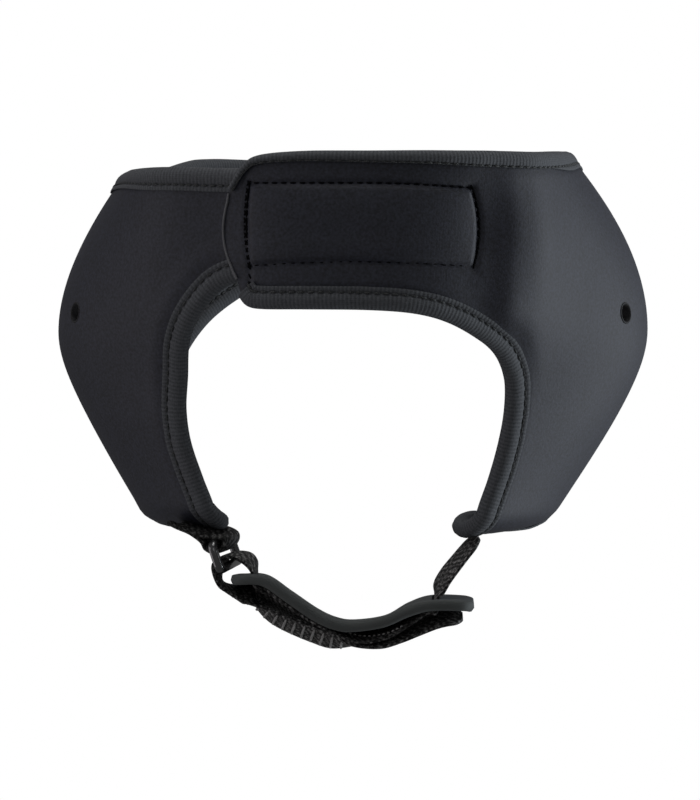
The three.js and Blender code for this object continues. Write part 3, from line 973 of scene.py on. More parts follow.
@dataclass(frozen=True)
class TabSeam:
    """The stitched rectangle on the tab, as x and reach in mm."""

    left_bow: Bow = Bow(-30.2, -1.3, 42.0, 14.0)
    right_bow: Bow = Bow(42.2, 2.2, 41.0, 13.0)
    top_level: float = 55.6
    top_fall_from: float = 5.0
    bottom_level: float = 30.2
    bottom_middle: float = 4.0
    arch: float = 0.0012
    left_corners: tuple[float, float] = (28.7, 55.4)
    right_corners: tuple[float, float] = (28.6, 54.0)
    side_points: int = 400
    puff: float = 1.5
    puff_runs: tuple[float, float, float, float] = (5.0, 6.0, 4.0, 9.0)
    pitch: float = 3.1
    scallop: float = 0.3
    groove: float = 0.35
    groove_width: float = 0.55
    end_groove: float = 0.6
    end_widening: float = 0.5
    end_run: float = 2.0
    dip: float = 0.7
    dip_run: float = 2.2
    lean: float = 0.5
    lean_run: float = 3.0
    tail_reaches: tuple[float, float] = (19.0, 29.0)
    tail_groove: float = 0.7
    tail_width: float = 0.9
    ridge: float = 0.7
    ridge_away: float = 11.0
    ridge_width: float = 6.0

    def left(self, reach: Array) -> Array:
        """Left line."""
        return self.left_bow.at(reach)

    def right(self, reach: Array) -> Array:
        """Right line."""
        return self.right_bow.at(reach)

    def top(self, x: Array) -> Array:
        """Upper line, level and then falling as a parabola."""
        return self.top_level - self.arch * np.maximum(x - self.top_fall_from, 0) ** 2

    def bottom(self, x: Array) -> Array:
        """Lower line, arched as a parabola."""
        return self.bottom_level - self.arch * (x - self.bottom_middle) ** 2

    def relief(self, x: Array, reach: Array) -> Array:
        """Height of the padded tab over the plain wall.

        The patch rises by the product of 1 - e to the minus distance over a run, one for each line.
        Each line is a narrow bell-shaped groove, deeper at the two ends and scalloped at the
        stitches, and the cloth outside falls to it by e to the minus distance over a run, which is
        longer on the left. The left line's groove goes on below the patch, and a low ridge stands
        right of the patch.

        Args:
            x: Places across the tab.
            reach: Places up the tab.

        Returns:
            Heights in mm.
        """
        from_left, from_right = x - self.left(reach), self.right(reach) - x
        above, below = self.top(x) - reach, reach - self.bottom(x)
        ends = np.minimum(from_left, from_right)
        inside = np.minimum(ends, np.minimum(above, below))
        swell = self.puff
        for away, run in zip((from_left, from_right, above, below), self.puff_runs):
            swell = swell * (1 - np.exp(-np.maximum(away, 0) / run))
        at_end = bell(ends, self.end_run)
        scallop = 1 + self.scallop * np.cos(2 * np.pi * x / self.pitch)
        groove = self.groove * scallop * (1 - at_end) + self.end_groove * at_end
        groove = groove * bell(inside, self.groove_width + self.end_widening * at_end)
        lean = ease(0, -self.lean_run, from_left)
        fall = np.exp(np.minimum(inside, 0) / (self.dip_run + self.lean_run * lean))
        dip = (self.dip + self.lean * lean) * fall * ease(self.end_run, 0, inside)
        tail_low, tail_high = self.tail_reaches
        tail = self.tail_groove * bell(x - self.left(np.maximum(reach, tail_high)), self.tail_width)
        tail = np.where((reach < self.bottom(x)) & (reach > tail_low), tail, 0)
        beside = self.right(np.clip(reach, tail_high, self.right_corners[1])) + self.ridge_away
        return swell - dip + self.ridge * bell(x - beside, self.ridge_width) - groove - tail

    def line(self) -> tuple[Array, Array]:
        """The rectangle's closed outline, with points close together.

        Returns:
            The points' x and reach.
        """
        t = np.linspace(0, 1, self.side_points, endpoint=False)
        low, high = self.left_corners
        up = low + (high - low) * t
        x_low, x_top = (
            self.left(left) + (self.right(right) - self.left(left)) * t
            for left, right in zip(self.left_corners, self.right_corners)
        )
        x = np.concatenate([self.left(up), x_top, self.right(up[::-1]), x_low[::-1]])
        reach = np.concatenate([up, self.top(x_top), up[::-1], self.bottom(x_low[::-1])])
        return x, reach


SEAM = TabSeam()
SEWN_UP_TO = -40.0  # azimuth past which nothing is sewn
SEWN_FADE = (-44.0, -52.0)  # azimuths between which the sewn relief comes in
UNEVEN = 0.25  # height of the wall's slow waves
UNEVEN_RUNS = ((9.0, 17.0), (-31.0, 23.0))  # degrees and mm to a radian of each wave


def relief(azimuth: Array, reach: Array) -> Array:
    """Height of the outer face's detail over the plain wall.

    The tab's sewn relief, and the product of two slow sines that slant against each other.

    Args:
        azimuth: Azimuths in degrees.
        reach: Reaches in mm.

    Returns:
        Heights in mm.
    """
    x = WALL.outer(azimuth, reach)[..., 0]
    tab = np.where(azimuth < SEWN_UP_TO, SEAM.relief(x, reach), 0)
    slow = UNEVEN
    for degrees, run in UNEVEN_RUNS:
        slow = slow * np.sin(azimuth / degrees + reach / run)
    return tab * ease(*SEWN_FADE, azimuth) + slow


@dataclass
class NeopreneBody:
    """The padded strip: tab, covers, far band and tail, with hearing holes."""

    stations: int = 620
    middle_columns: int = 60
    edge_columns: int = 5
    tab_density: float = 1.5
    tab_ramp: tuple[float, float] = (0.19, 0.15)
    pinch: float = 0.8
    end_pinch: float = 0.25
    pinch_run: float = 7.5
    tab_bow: float = 3.2
    square_share: float = 6 / 104
    swell: float = 0.5
    swell_away: float = 10.5
    swell_width: float = 3.4
    swell_fade: tuple[float, float] = (8.0, -18.0)
    edge_points: int = 700
    corner_lift: float = 2.3
    corner_rise: tuple[float, float] = (5.0, 16.0)
    corner_place: tuple[float, float] = (58.0, 13.0)
    corner_spread: tuple[float, float] = (14.0, 14.0)
    holes: tuple[tuple[float, float], ...] = ((-16.5, 12.2), (16.5, 12.2), (1.0, -19.0))
    hole_radius: float = 3.0
    hole_core: float = 1.2
    hole_reach: float = 3.2
    hole_cover: float = 0.4
    hole_clear: float = 1.04
    rim_sides: int = 56
    cut_bead: float = 0.4
    cut_sides: int = 10

    def shares(self) -> Array:
        """Stations along the strip, closer together on the tab.

        Returns:
            Shares of the edges from 0 to 1.
        """
        dense = np.linspace(0, 1, DENSE)
        top, low = UPPER_EDGE.at(dense), LOWER_EDGE.at(dense)
        run = run_length(WALL.outer((top[0] + low[0]) / 2, (top[1] + low[1]) / 2))
        weight = 1 + self.tab_density * ease(*self.tab_ramp, dense)
        packed = np.concatenate([[0], np.cumsum(np.diff(run) * weight[1:])])
        return np.interp(np.linspace(0, packed[-1], self.stations), packed, dense)

    def places(self, share: Array) -> tuple[Array, Array, Array]:
        """Azimuth, reach and edge pinch of the grid, station by column from the upper edge down.

        The first and last columns step in square from the edges; those between divide the way from
        one to the other evenly. Towards the tab's cut end the columns run straight across, the end
        bulges by a half sine and the faces close in.

        Args:
            share: Stations.

        Returns:
            Azimuth, reach and the depth that each face loses.
        """
        inset = np.linspace(0, self.pinch_run, self.edge_columns, endpoint=False)
        station = share[:, None]
        upper = UPPER_EDGE.inward(station, inset[None])
        lower = LOWER_EDGE.inward(station, inset[None, ::-1])
        start = UPPER_EDGE.inward(station, np.array([[self.pinch_run]]))
        stop = LOWER_EDGE.inward(station, np.array([[self.pinch_run]]))
        mix = np.linspace(0, 1, self.middle_columns)[None]
        middle = [a + (b - a) * mix for a, b in zip(start, stop)]
        slanted, reach = (np.concatenate(part, axis=1) for part in zip(upper, middle, lower))
        column = np.linspace(0, 1, reach.shape[1])[None]
        top, low = UPPER_EDGE.at(station)[0], LOWER_EDGE.at(station)[0]
        straight = top + (low - top) * column - self.tab_bow * np.sin(np.pi * column)
        square = ease(self.square_share, 0, station)
        rim = self.pinch * (1 - inset / self.pinch_run)
        pinch = np.concatenate([rim, np.zeros(self.middle_columns), rim[::-1]])[None]
        azimuth = slanted + (straight - slanted) * square
        return azimuth, reach, np.maximum(pinch, self.end_pinch * square)

    def open_holes(self, azimuth: Array, reach: Array) -> tuple[Array, Array, Array]:
        """Spreads the grid round each hearing hole and drops the cells inside.

        In the hole's own plane a point at distance d between the core and the outer radius moves
        out to cut + (d - core)(outer - cut)/(outer - core), and the corners of dropped cells go to
        the cut itself, which the rim covers.

        Args:
            azimuth: Grid of azimuths.
            reach: Grid of reaches.

        Returns:
            New azimuths and reaches, and which cells are kept.
        """
        keep = np.ones((azimuth.shape[0] - 1, azimuth.shape[1] - 1), bool)
        core, outer = self.hole_core * self.hole_radius, self.hole_reach * self.hole_radius
        cut = self.hole_radius + self.hole_cover
        for hole_azimuth, hole_reach, degree, step in self.hole_frames():
            across, up = (azimuth - hole_azimuth) * degree, (reach - hole_reach) * step
            away = np.hypot(across, up)
            middle = (away[1:, 1:] + away[:-1, 1:] + away[1:, :-1] + away[:-1, :-1]) / 4
            gone = middle < core
            corner = np.zeros_like(away, bool)
            for rows in (slice(1, None), slice(None, -1)):
                for cols in (slice(1, None), slice(None, -1)):
                    corner[rows, cols] |= gone
            spread = cut + (away - core) * (outer - cut) / (outer - core)
            target = np.where(corner, cut, np.maximum(spread, cut * self.hole_clear))
            scale = np.where(away < outer, target / np.maximum(away, 1e-6), 1)
            azimuth = hole_azimuth + across * scale / degree
            reach = hole_reach + up * scale / step
            keep &= ~gone
        return azimuth, reach, keep

    def hole_frames(self) -> list[tuple[float, float, float, float]]:
        """Every hearing hole on both covers, with the wall's scale there.

        Returns:
            Azimuth, reach, mm to a degree and mm to a step of reach.
        """
        azimuth, reach = np.array([(a, r) for fore, r in self.holes for a in (fore, 180 - fore)]).T
        turn, rise, _ = WALL.directions(azimuth, reach)
        degree, step = np.linalg.norm(turn, axis=-1), np.linalg.norm(rise, axis=-1)
        return list(zip(azimuth, reach, degree, step))

    def edge_swell(self, points: Array) -> Array:
        """Swelling of the padding beside the lower tape.

        A bell of the distance from that edge, left out low on the right cover, and at the opening's
        right corner an eased rise away from the edge that fades as a bell of x and of z.

        Args:
            points: Places on the plain wall.

        Returns:
            Heights in mm.
        """
        share = LOWER_EDGE.even_shares(self.edge_points)
        edge = WALL.outer(*LOWER_EDGE.at(share)).astype(np.float32)
        flat = points.reshape(-1, 3).astype(np.float32)
        squared = (flat**2).sum(1)[:, None] + (edge**2).sum(1)[None] - 2 * flat @ edge.T
        away = np.sqrt(np.maximum(squared.min(1), 0)).reshape(points.shape[:-1])
        x, y, z = np.moveaxis(points, -1, 0)
        swell = self.swell * (1 - ease(*self.swell_fade, z) * (x > 0))
        near = bell(x - self.corner_place[0], self.corner_spread[0])
        near = near * bell(z - self.corner_place[1], self.corner_spread[1]) * (y < 0)
        lift = self.corner_lift * near * ease(*self.corner_rise, away)
        return swell * bell(away - self.swell_away, self.swell_width) + lift

    def build(self) -> list[bpy.types.Object]:
        """Makes the strip, whose faces are the wall moved along its normal by relief and pinch.

        Returns:
            The strip, the rims of its holes and the bead on its cut end.
        """
        azimuth, reach, pinch = self.places(self.shares())
        azimuth, reach, keep = self.open_holes(azimuth, reach)
        plain = WALL.outer(azimuth, reach)
        lift = (relief(azimuth, reach) + self.edge_swell(plain)) * (1 - pinch / self.pinch)
        outside = WALL.point(azimuth, reach, lift - pinch)
        inside = WALL.point(azimuth, reach, pinch - WALL.thickness)
        run = run_length(outside[:, outside.shape[1] // 2])
        skin = Skin()
        slab(skin, outside, inside, keep, paired(run[:, None], reach))
        body = make_piece("neoprene_body", skin, JERSEY, ("body",))
        return [body, self.rims(), self.cut_edge()]

    def rims(self) -> bpy.types.Object:
        """Cut foam that lines each hole: a rounded profile carried round the hole on the wall.

        Returns:
            The rims as one piece.
        """
        radius, thick = self.hole_radius, WALL.thickness
        profile = np.array([
            (radius + 0.8, -0.3), (radius + 0.6, 0.06), (radius + 0.2, 0.05),
            (radius - 0.06, -0.3), (radius - 0.12, -1.2), (radius - 0.12, 1.2 - thick),
            (radius - 0.08, 0.35 - thick), (radius + 0.2, -thick - 0.05),
            (radius + 0.6, -thick - 0.06), (radius + 0.8, 0.3 - thick),
        ])
        angle = round_angles(self.rim_sides)
        across, up = (np.outer(part, profile[:, 0]) for part in (np.cos(angle), np.sin(angle)))
        skin = Skin()
        for hole_azimuth, hole_reach, degree, step in self.hole_frames():
            azimuth, reach = hole_azimuth + across / degree, hole_reach + up / step
            depth = np.broadcast_to(profile[None, :, 1], azimuth.shape)
            uv = paired(angle[:, None] * radius, depth)
            skin.loops(WALL.point(azimuth, reach, depth), uv, closed=True)
        return make_piece("hearing_hole_rims", skin, CUT_FOAM)

    def cut_edge(self) -> bpy.types.Object:
        """A thin round bead of bare foam on the outer corner of the tab's cut end, painted pale as a
        highlight.

        Returns:
            The bead.
        """
        ends = slice(self.edge_columns // 2, -self.edge_columns)
        azimuth, reach, pinch = (part[0, ends] for part in self.places(np.zeros(1)))
        line = WALL.point(azimuth, reach, -pinch)
        normal = WALL.directions(azimuth, reach)[2]
        side = np.cross(unit(np.gradient(line, axis=0)), normal)
        angle = round_angles(self.cut_sides)
        cos, sin = np.cos(angle)[None, :, None], np.sin(angle)[None, :, None]
        turn = cos * normal[:, None] + sin * side[:, None]
        uv = paired(run_length(line)[:, None], angle[None] * self.cut_bead)
        skin = Skin()
        skin.loops(line[:, None] + self.cut_bead * turn, uv)
        return make_piece("tab_cut_edge_painted_highlight", skin, EDGE_FOAM_PAINTED_HIGHLIGHT)


@dataclass
class EdgeTape:
    """Tape folded over one edge of the strip and sewn through."""

    edge: EdgeLine
    name: str
    node: str
    tab_loss: float = 0.0
    tab_share: float = 0.2
    leg_share: float = 0.17
    leg_loss: float = 0.85
    stations: int = 900
    ripples: tuple[tuple[float, float], ...] = ((0.07, 4.1), (0.05, 1.7))
    stitch_line: float = 4.5
    stitch_pitch: float = 3.0
    stitch_start: float = 0.45
    stitch_length: float = 2.3
    thread_radius: float = 0.36
    thread_height: float = 0.32

    def section(self) -> Array:
        """The tape's closed outline: distance in from the edge, and height over the outer face.

        A thin flat leg, a groove at the stitch line and a thick roll over the edge, then the same
        back along the inner face, and round the neoprene inside.

        Returns:
            Points of the outline.
        """
        face = [
            (6.45, 0.1), (6.5, 0.5), (5.9, 0.72), (5.2, 0.62), (4.5, 0.12), (3.8, 0.66),
            (2.8, 0.98), (1.6, 1.0), (0.4, 0.7), (-0.7, -0.05), (-1.3, -1.0),
        ]
        inner = [(x, -WALL.thickness - y) for x, y in reversed(face)]
        back = [(5.0, -4.05), (2.0, -3.72), (-0.35, -3.2), (-0.35, -0.8), (2.0, -0.28), (5.0, 0.05)]
        return np.array([*face, *inner, *back])

    def build(self) -> list[bpy.types.Object]:
        """Makes the tape, its section carried along the edge with sines of the run as ripples.

        Returns:
            The tape and the thread in its groove.
        """
        share = self.edge.even_shares(self.stations)
        section = self.section()
        inset = self.inset(share[:, None], section[None, :, 0])
        azimuth, reach = self.edge.inward(share[:, None], inset)
        run = run_length(WALL.outer(*self.edge.at(share)))
        ripple = sum(height * np.sin(run / length) for height, length in self.ripples)
        half = WALL.thickness / 2
        on_face = np.abs(section[None, :, 1] + half) > half
        depth = section[None, :, 1] + ripple[:, None] * on_face
        skin = Skin()
        uv = paired(run[:, None], run_length(section)[None])
        skin.loops(WALL.point(azimuth, reach, depth), uv)
        tape = make_piece(self.name, skin, TAPE, (self.node,))
        return [tape, self.thread(run[-1])]

    def inset(self, share: Array, distance: Array) -> Array:
        """Distance in from the edge where a place of the section ends up.

        On the tab the roll narrows towards the corner and the leg past the stitches hides under it.

        Args:
            share: Places along the edge.
            distance: Distances of the section.

        Returns:
            The distance that is used.
        """
        roll = 1 - self.tab_loss * ease(self.tab_share, 0, share)
        leg = 1 - self.leg_loss * (self.tab_loss > 0) * ease(self.tab_share, self.leg_share, share)
        past = np.maximum(distance - self.stitch_line, 0)
        return (distance - past) * roll + past * leg

    def thread(self, length: float) -> bpy.types.Object:
        """Lockstitch thread along the groove, one bead to a stitch, on both faces of the tape.

        Args:
            length: Length of the edge.

        Returns:
            The thread.
        """
        count = int(length / self.stitch_pitch)
        share = self.edge.even_shares(count + 1)[:-1] + self.stitch_start / count
        line = self.inset(share, np.full_like(share, self.stitch_line))
        step = 0.001
        here, there = (self.edge.inward(share + k * step, line) for k in (0, 1))
        height = np.full_like(share, self.thread_height)
        skin = Skin()
        for depth, outward in ((height, 1), (-WALL.thickness - height, -1)):
            centres = WALL.point(*here, depth)
            along = WALL.point(*there, depth) - centres
            up = WALL.directions(*here)[2] * outward
            stitches(skin, centres, along, up, self.stitch_length, self.thread_radius)
        return make_piece(f"{self.name}_thread", skin, SEAM_THREAD)


@dataclass
class TabStitching:
    """Near-black thread round the stitched rectangle and down the tab's end, which also paints the
    grooves' shade.
    """

    length: float = 2.2
    radius: float = 0.3
    tail_span: tuple[float, float] = (29.0, 20.0)
    tail_points: int = 60
    end_span: tuple[float, float] = (28.0, 56.0)
    end_points: int = 200
    left_shift: float = -0.3
    right_shift: float = 0.1
    right_points: int = 190
    step: float = 0.3

    def build(self) -> list[bpy.types.Object]:
        """Beads along the outline, slanted and crossed ones on the left, close ones on the right.

        Returns:
            The stitching.
        """
        tail = np.linspace(*self.tail_span, self.tail_points)
        low_left = np.full_like(tail, SEAM.left(tail[0]))
        up = np.linspace(*self.end_span, self.end_points)
        left = SEAM.left(up) + self.left_shift
        right_up = up[:self.right_points]
        right = SEAM.right(right_up) + self.right_shift
        # Columns: x, reach, pitch, slant, lift
        rows = [
            (*SEAM.line(), SEAM.pitch, 0.0, 0.15),
            (low_left, tail, 2.4, 0.6, 0.15),
            (left, up, 2.4, 0.6, 0.35),
            (left, up, 2.4, -0.6, 0.35),
            (right, right_up, 1.6, 0.2, 0.6),
        ]
        skin = Skin()
        for row in rows:
            self.sew(skin, *row)
        return [make_piece("tab_stitching_and_shade", skin, TAB_THREAD_AND_SHADE)]

    def sew(
        self, skin: Skin, x: Array, reach: Array, pitch: float, slant: float, lift: float
    ) -> None:
        """Adds beads along a line on the tab.

        Args:
            skin: Piece that gets the beads.
            x: The line's places across the tab.
            reach: The line's places up the tab.
            pitch: Distance from bead to bead.
            slant: How far a bead leans sideways, as a share of its length.
            lift: Height of the beads over the bottom of the groove.
        """
        line = WALL.outer(WALL.tab_azimuth(x, reach), reach)
        run = run_length(line)
        middles = np.arange(pitch / 2, run[-1], pitch)
        here, there = (
            (np.interp(place, run, x), np.interp(place, run, reach))
            for place in (middles, middles + self.step)
        )
        azimuth, at_reach = WALL.tab_azimuth(*here), here[1]
        centres = WALL.point(azimuth, at_reach, relief(azimuth, at_reach) + lift)
        ahead = WALL.outer(WALL.tab_azimuth(*there), there[1])
        along = unit(ahead - WALL.outer(azimuth, at_reach))
        up = WALL.directions(azimuth, at_reach)[2]
        along = along + slant * np.cross(up, along)
        stitches(skin, centres, along, up, self.length, self.radius)


@dataclass
class HookPatch:
    """Hook tape sewn inside the tab."""

    azimuths: tuple[float, float] = (-107.5, -60.5)
    reaches: tuple[float, float] = (29.5, 54.5)
    depth: float = 4.3
    thickness: float = 1.6
    rim: float = 0.4
    cells: tuple[int, int] = (59, 23)

    def build(self) -> list[bpy.types.Object]:
        """A thin slab that follows the tab's inner face, thinner along its rim.

        Returns:
            The patch.
        """
        across = np.linspace(*self.azimuths, self.cells[0] + 1)[:, None]
        up = np.linspace(*self.reaches, self.cells[1] + 1)[None]
        azimuth, reach = np.broadcast_arrays(across, up)
        rim = np.zeros(azimuth.shape)
        rim[[0, -1]] = rim[:, [0, -1]] = self.rim
        top = WALL.point(azimuth, reach, -self.depth - rim / 2)
        bottom = WALL.point(azimuth, reach, -self.depth - self.thickness + rim)
        skin = Skin()
        uv = paired(run_length(top[:, 0])[:, None], reach)
        slab(skin, top, bottom, np.ones(self.cells, bool), uv)
        return [make_piece("hook_patch_tape", skin, HOOKS, ("hook_patch",))]


STRAP_Y = -47.0
WEB_WIDTH = 19.0
WEB_THICKNESS = 1.3


@dataclass(frozen=True)
class Route:
    """Middle line of a band in the strap's plane. Columns: x, z, roll, yaw and width."""

    rows: Array

    def frame(self, share: Array) -> tuple[Array, Array, Array, Array, Array]:
        """Middle points, and directions along, sideways and out of the band, with its width.

        Sideways starts as +Y, turns by the yaw about -Z and then by the roll about the line.

        Args:
            share: Places along the route, from 0 to 1.

        Returns:
            Centres, tangents, sideways directions, face directions and widths.
        """
        share = np.asarray(share, float)
        step = 1e-4
        here = self.centre(share)
        ahead, behind = np.minimum(share + step, 1), np.maximum(share - step, 0)
        tangent = unit(self.centre(ahead) - self.centre(behind))
        values = spline(self.rows, share)
        roll, yaw, width = np.radians(values[..., 2]), np.radians(values[..., 3]), values[..., 4]
        sideways = np.stack([np.sin(yaw), np.cos(yaw), np.zeros_like(yaw)], axis=-1)
        sideways = turned(sideways, tangent, roll)
        return here, tangent, sideways, unit(np.cross(tangent, sideways)), width

    def centre(self, share: Array) -> Array:
        """Middle line."""
        x, z = np.moveaxis(spline(self.rows, share), -1, 0)[:2]
        return np.stack([x, np.full_like(x, STRAP_Y), z], axis=-1)

    def even_shares(self, count: int) -> Array:
        """Shares that divide the route into steps of equal length."""
        return even_shares(self.centre, count)


def turned(vectors: Array, axis: Array, angle: Array) -> Array:
    """Vectors turned about axes: v cos + (k x v) sin + k (k . v)(1 - cos).

    Args:
        vectors: What is turned.
        axis: Axes of length one.
        angle: Angles in radians.

    Returns:
        The turned vectors.
    """
    cos, sin = np.cos(angle)[..., None], np.sin(angle)[..., None]
    dot = (axis * vectors).sum(-1, keepdims=True)
    return vectors * cos + np.cross(axis, vectors) * sin + axis * dot * (1 - cos)


def web_rows(rows: list[tuple]) -> Array:
    """Rows of x, z, roll and an optional yaw, filled up with the webbing's width."""
    return np.array([(*row, 0.0)[:4] + (WEB_WIDTH,) for row in rows], float)


# Columns: x, z, width, roll
PAD_ROUTE = Route(np.array([(x, z, roll, 0, width) for x, z, width, roll in [
    (-38.8, -77.6, 20, -5),
    (-35.6, -77.4, 27, -5),
    (-28, -77.8, 29, -5),
    (-19.7, -83.3, 30, -5),
    (-11, -89.2, 30, -5),
    (-4.4, -92.2, 30, -5),
    (2, -93, 30, -5),
    (12.5, -91.4, 30, -5),
    (20.5, -87.5, 30, -3),
    (28, -85.2, 29, -2),
    (38.5, -85.2, 27, -2),
    (42.6, -86, 20, -2),
]], float))
PAD_THICKNESS = 3.5
PAD_PLACES = 201  # places of the pad's line among which the strap's are chosen
STRAP_GAP = 0.1  # between the strap and the pad that it hugs
EDGE_HUG = 0.85  # share of a tilted strap's rise by which it stays clear of the pad
RIGHT_SLIT_X, LEFT_SLIT_X = 29.8, -31.4
# Columns of the strap's free parts and the anchor: x, z, roll and, where there is one, yaw
STRAP_DOWN = [
    (44, -62.9, -6),
    (42.6, -64.4, -8),
    (40.2, -67, -9),
    (36.8, -71.2, -10),
    (33, -76.2, -11),
    (30.7, -80.4, -10),
    (RIGHT_SLIT_X, -83.6, 0),
    (RIGHT_SLIT_X, -87.6, 0),
]
# Columns: x, and the tilt that lowers the near edge from the pad's own plane
STRAP_UNDER = [
    (26.5, 0), (20, 6), (12, 10), (3, 9), (-7, -1),
    (-15, -10), (-22, -15), (-26, -19), (-29.5, -23),
]
STRAP_OVER = [
    (LEFT_SLIT_X, -79.4, 6, 0),
    (LEFT_SLIT_X, -77.6, 0, 0),
    (LEFT_SLIT_X, -75, 0, 0),
    (-32.4, -72, 0, 6),
    (-35.4, -69.6, 0, 11),
    (-40, -69.3, 0, 11),
    (-43, -71.6, 0, 11),
    (-43.8, -75.2, -2, 6),
    (-43, -78.9, -2, 0),
    (-39.9, -80.7, 1, 0),
    (-35.2, -82, 11, 0),
    (-32.8, -83.4, 10, 0),
    (-30.4, -86.5, -8, 0),
    (-26, -89.6, -18, 0),
    (-20.4, -92.5, -21, 0),
    (-11.6, -95.9, -23, 0),
    (-4.9, -98.2, -21, 0),
    (2, -99.4, -6, 0),
    (11, -98.3, 6, 0),
    (18, -96, 8, 0),
    (24, -93.4, 9, 0),
    (31, -90.6, 10, 0),
    (38.8, -89.8, 6, 0),
]
ANCHOR = [
    (-56, -58.8, 0, 11),
    (-51.5, -60.3, 1, 11),
    (-47.5, -61.1, 6, 11),
    (-43.2, -61.8, 7, 11),
    (-39.8, -62.8, 2, 11),
    (-39.8, -65.4, 0, 11),
    (-42.5, -67.6, 0, 11),
    (-45.6, -66.5, 0, 11),
    (-47.4, -64.1, 2, 11),
    (-51.5, -61.7, 5, 11),
    (-56, -60.2, 7, 11),
    (-60, -58.4, 7, 11),
]


@dataclass
class Strap:
    """A webbing band along a route."""

    name: str
    node: str
    route: Route
    stations: int
    finish: Webbing
    end_rounds: tuple[float, float] = (5.0, 3.0)
    end_loss: float = 0.8
    sides: int = 40
    squareness: float = 6.0
    rib: float = 0.12

    def build(self) -> list[bpy.types.Object]:
        """A flat section with rounded selvedges: |v| and |h| to the power of the squareness.

        Each end narrows by the root of 1 minus a share of the squared way into its rounding.

        Returns:
            The band.
        """
        share = self.route.even_shares(self.stations)
        centre, _, sideways, face, width = self.route.frame(share)
        angle = round_angles(self.sides) + math.pi / 2
        power = 2 / self.squareness
        v, h = signed_power(np.cos(angle), power) / 2, signed_power(np.sin(angle), power) / 2
        run = run_length(centre)
        start, end = self.end_rounds
        close = np.maximum(np.maximum(1 - run / start, 1 - (run[-1] - run) / end), 0)
        width = width * np.sqrt(1 - self.end_loss * close**2)
        depth = h * WEB_THICKNESS * (1 + self.rib * np.cos(4 * np.pi * v) ** 2)
        rings = centre[:, None] + sideways[:, None] * (v * width[:, None])[..., None]
        rings = rings + face[:, None] * depth[None, :, None]
        across = np.where(h > 0, v, 1 - v) * WEB_WIDTH
        skin = Skin()
        skin.loops(rings, paired(run[:, None], across[None]))
        return [make_piece(self.name, skin, self.finish, (self.node,))]


@dataclass
class StrapMarks:
    """Light cross bars on the strap's free tail, and a row of stitches on its run under the pad."""

    route: Route
    sink: float = 0.58
    tail: tuple[float, float] = (0.66, 1.0)
    bar_span: tuple[float, float] = (-38.0, -2.0)
    bar_pitch: float = 3.4
    bar_length: float = 17.0
    bar_radius: float = 0.5
    under: tuple[float, float] = (0.24, 0.4)
    stitch_span: tuple[float, float] = (-1.0, 20.0)
    stitch_sides: tuple[float, float] = (-8.0, -0.5)
    stitch_pitch: float = 1.7
    stitch_fill: float = 0.6
    stitch_radius: float = 0.28

    def build(self) -> list[bpy.types.Object]:
        """Bars across the tail's outer face, and a slanting row on the run under the pad.

        Returns:
            The bars and the stitches.
        """
        bars, row = Skin(), Skin()
        sink = WEB_THICKNESS * self.sink
        centre, _, sideways, face = self.frames(self.tail, self.bar_span, self.bar_pitch)
        stitches(bars, centre - face * sink, sideways, -face, self.bar_length, self.bar_radius)
        centre, along, sideways, face = self.frames(self.under, self.stitch_span, self.stitch_pitch)
        aside = np.linspace(*self.stitch_sides, len(centre))[:, None]
        place = centre + sideways * aside - face * sink
        length = self.stitch_pitch * self.stitch_fill
        stitches(row, place, along, -face, length, self.stitch_radius)
        return [
            make_piece("chin_strap_cross_bars", bars, BAR_YARN),
            make_piece("chin_strap_stitching", row, STRAP_THREAD),
        ]

    def frames(
        self, part: tuple[float, float], span: tuple[float, float], pitch: float
    ) -> tuple[Array, Array, Array, Array]:
        """Middles and directions at even steps of one part of the strap between two places of x.

        Args:
            part: First and last share of the part.
            span: First and last x.
            pitch: Distance from one to the next.

        Returns:
            Centres, tangents, sideways directions and face directions.
        """
        dense = np.linspace(*part, DENSE // 2 + 1)
        line = self.route.centre(dense)
        run = run_length(line)
        order = np.argsort(line[:, 0])
        first, last = np.sort(np.interp(span, line[order, 0], run[order]))
        share = np.interp(np.arange(first, last, pitch), run, dense)
        return self.route.frame(share)[:4]


def chin_route() -> Route:
    """The strap's whole route: down from the right cover, under the pad, round the buckle and back.

    Under the pad it follows the pad's own line, further off where the strap is tilted.

    Returns:
        The route.
    """
    at_x, tilt = np.array(STRAP_UNDER, float).T
    edge_rise = EDGE_HUG * WEB_WIDTH / 2 * np.sin(np.radians(np.abs(tilt)))
    below = PAD_THICKNESS / 2 + STRAP_GAP + WEB_THICKNESS / 2 + edge_rise
    share = np.linspace(0, 1, PAD_PLACES)
    centre, tangent = PAD_ROUTE.frame(share)[:2]
    roll = spline(PAD_ROUTE.rows, share)[:, 2]
    nearest = np.abs(centre[:, 0][None] - at_x[:, None]).argmin(1)
    x = centre[nearest, 0] + tangent[nearest, 2] * below
    z = centre[nearest, 2] - tangent[nearest, 0] * below
    under = list(zip(x.tolist(), z.tolist(), (-roll[nearest] - tilt).tolist()))
    return Route(web_rows([*STRAP_DOWN, *under, *STRAP_OVER]))


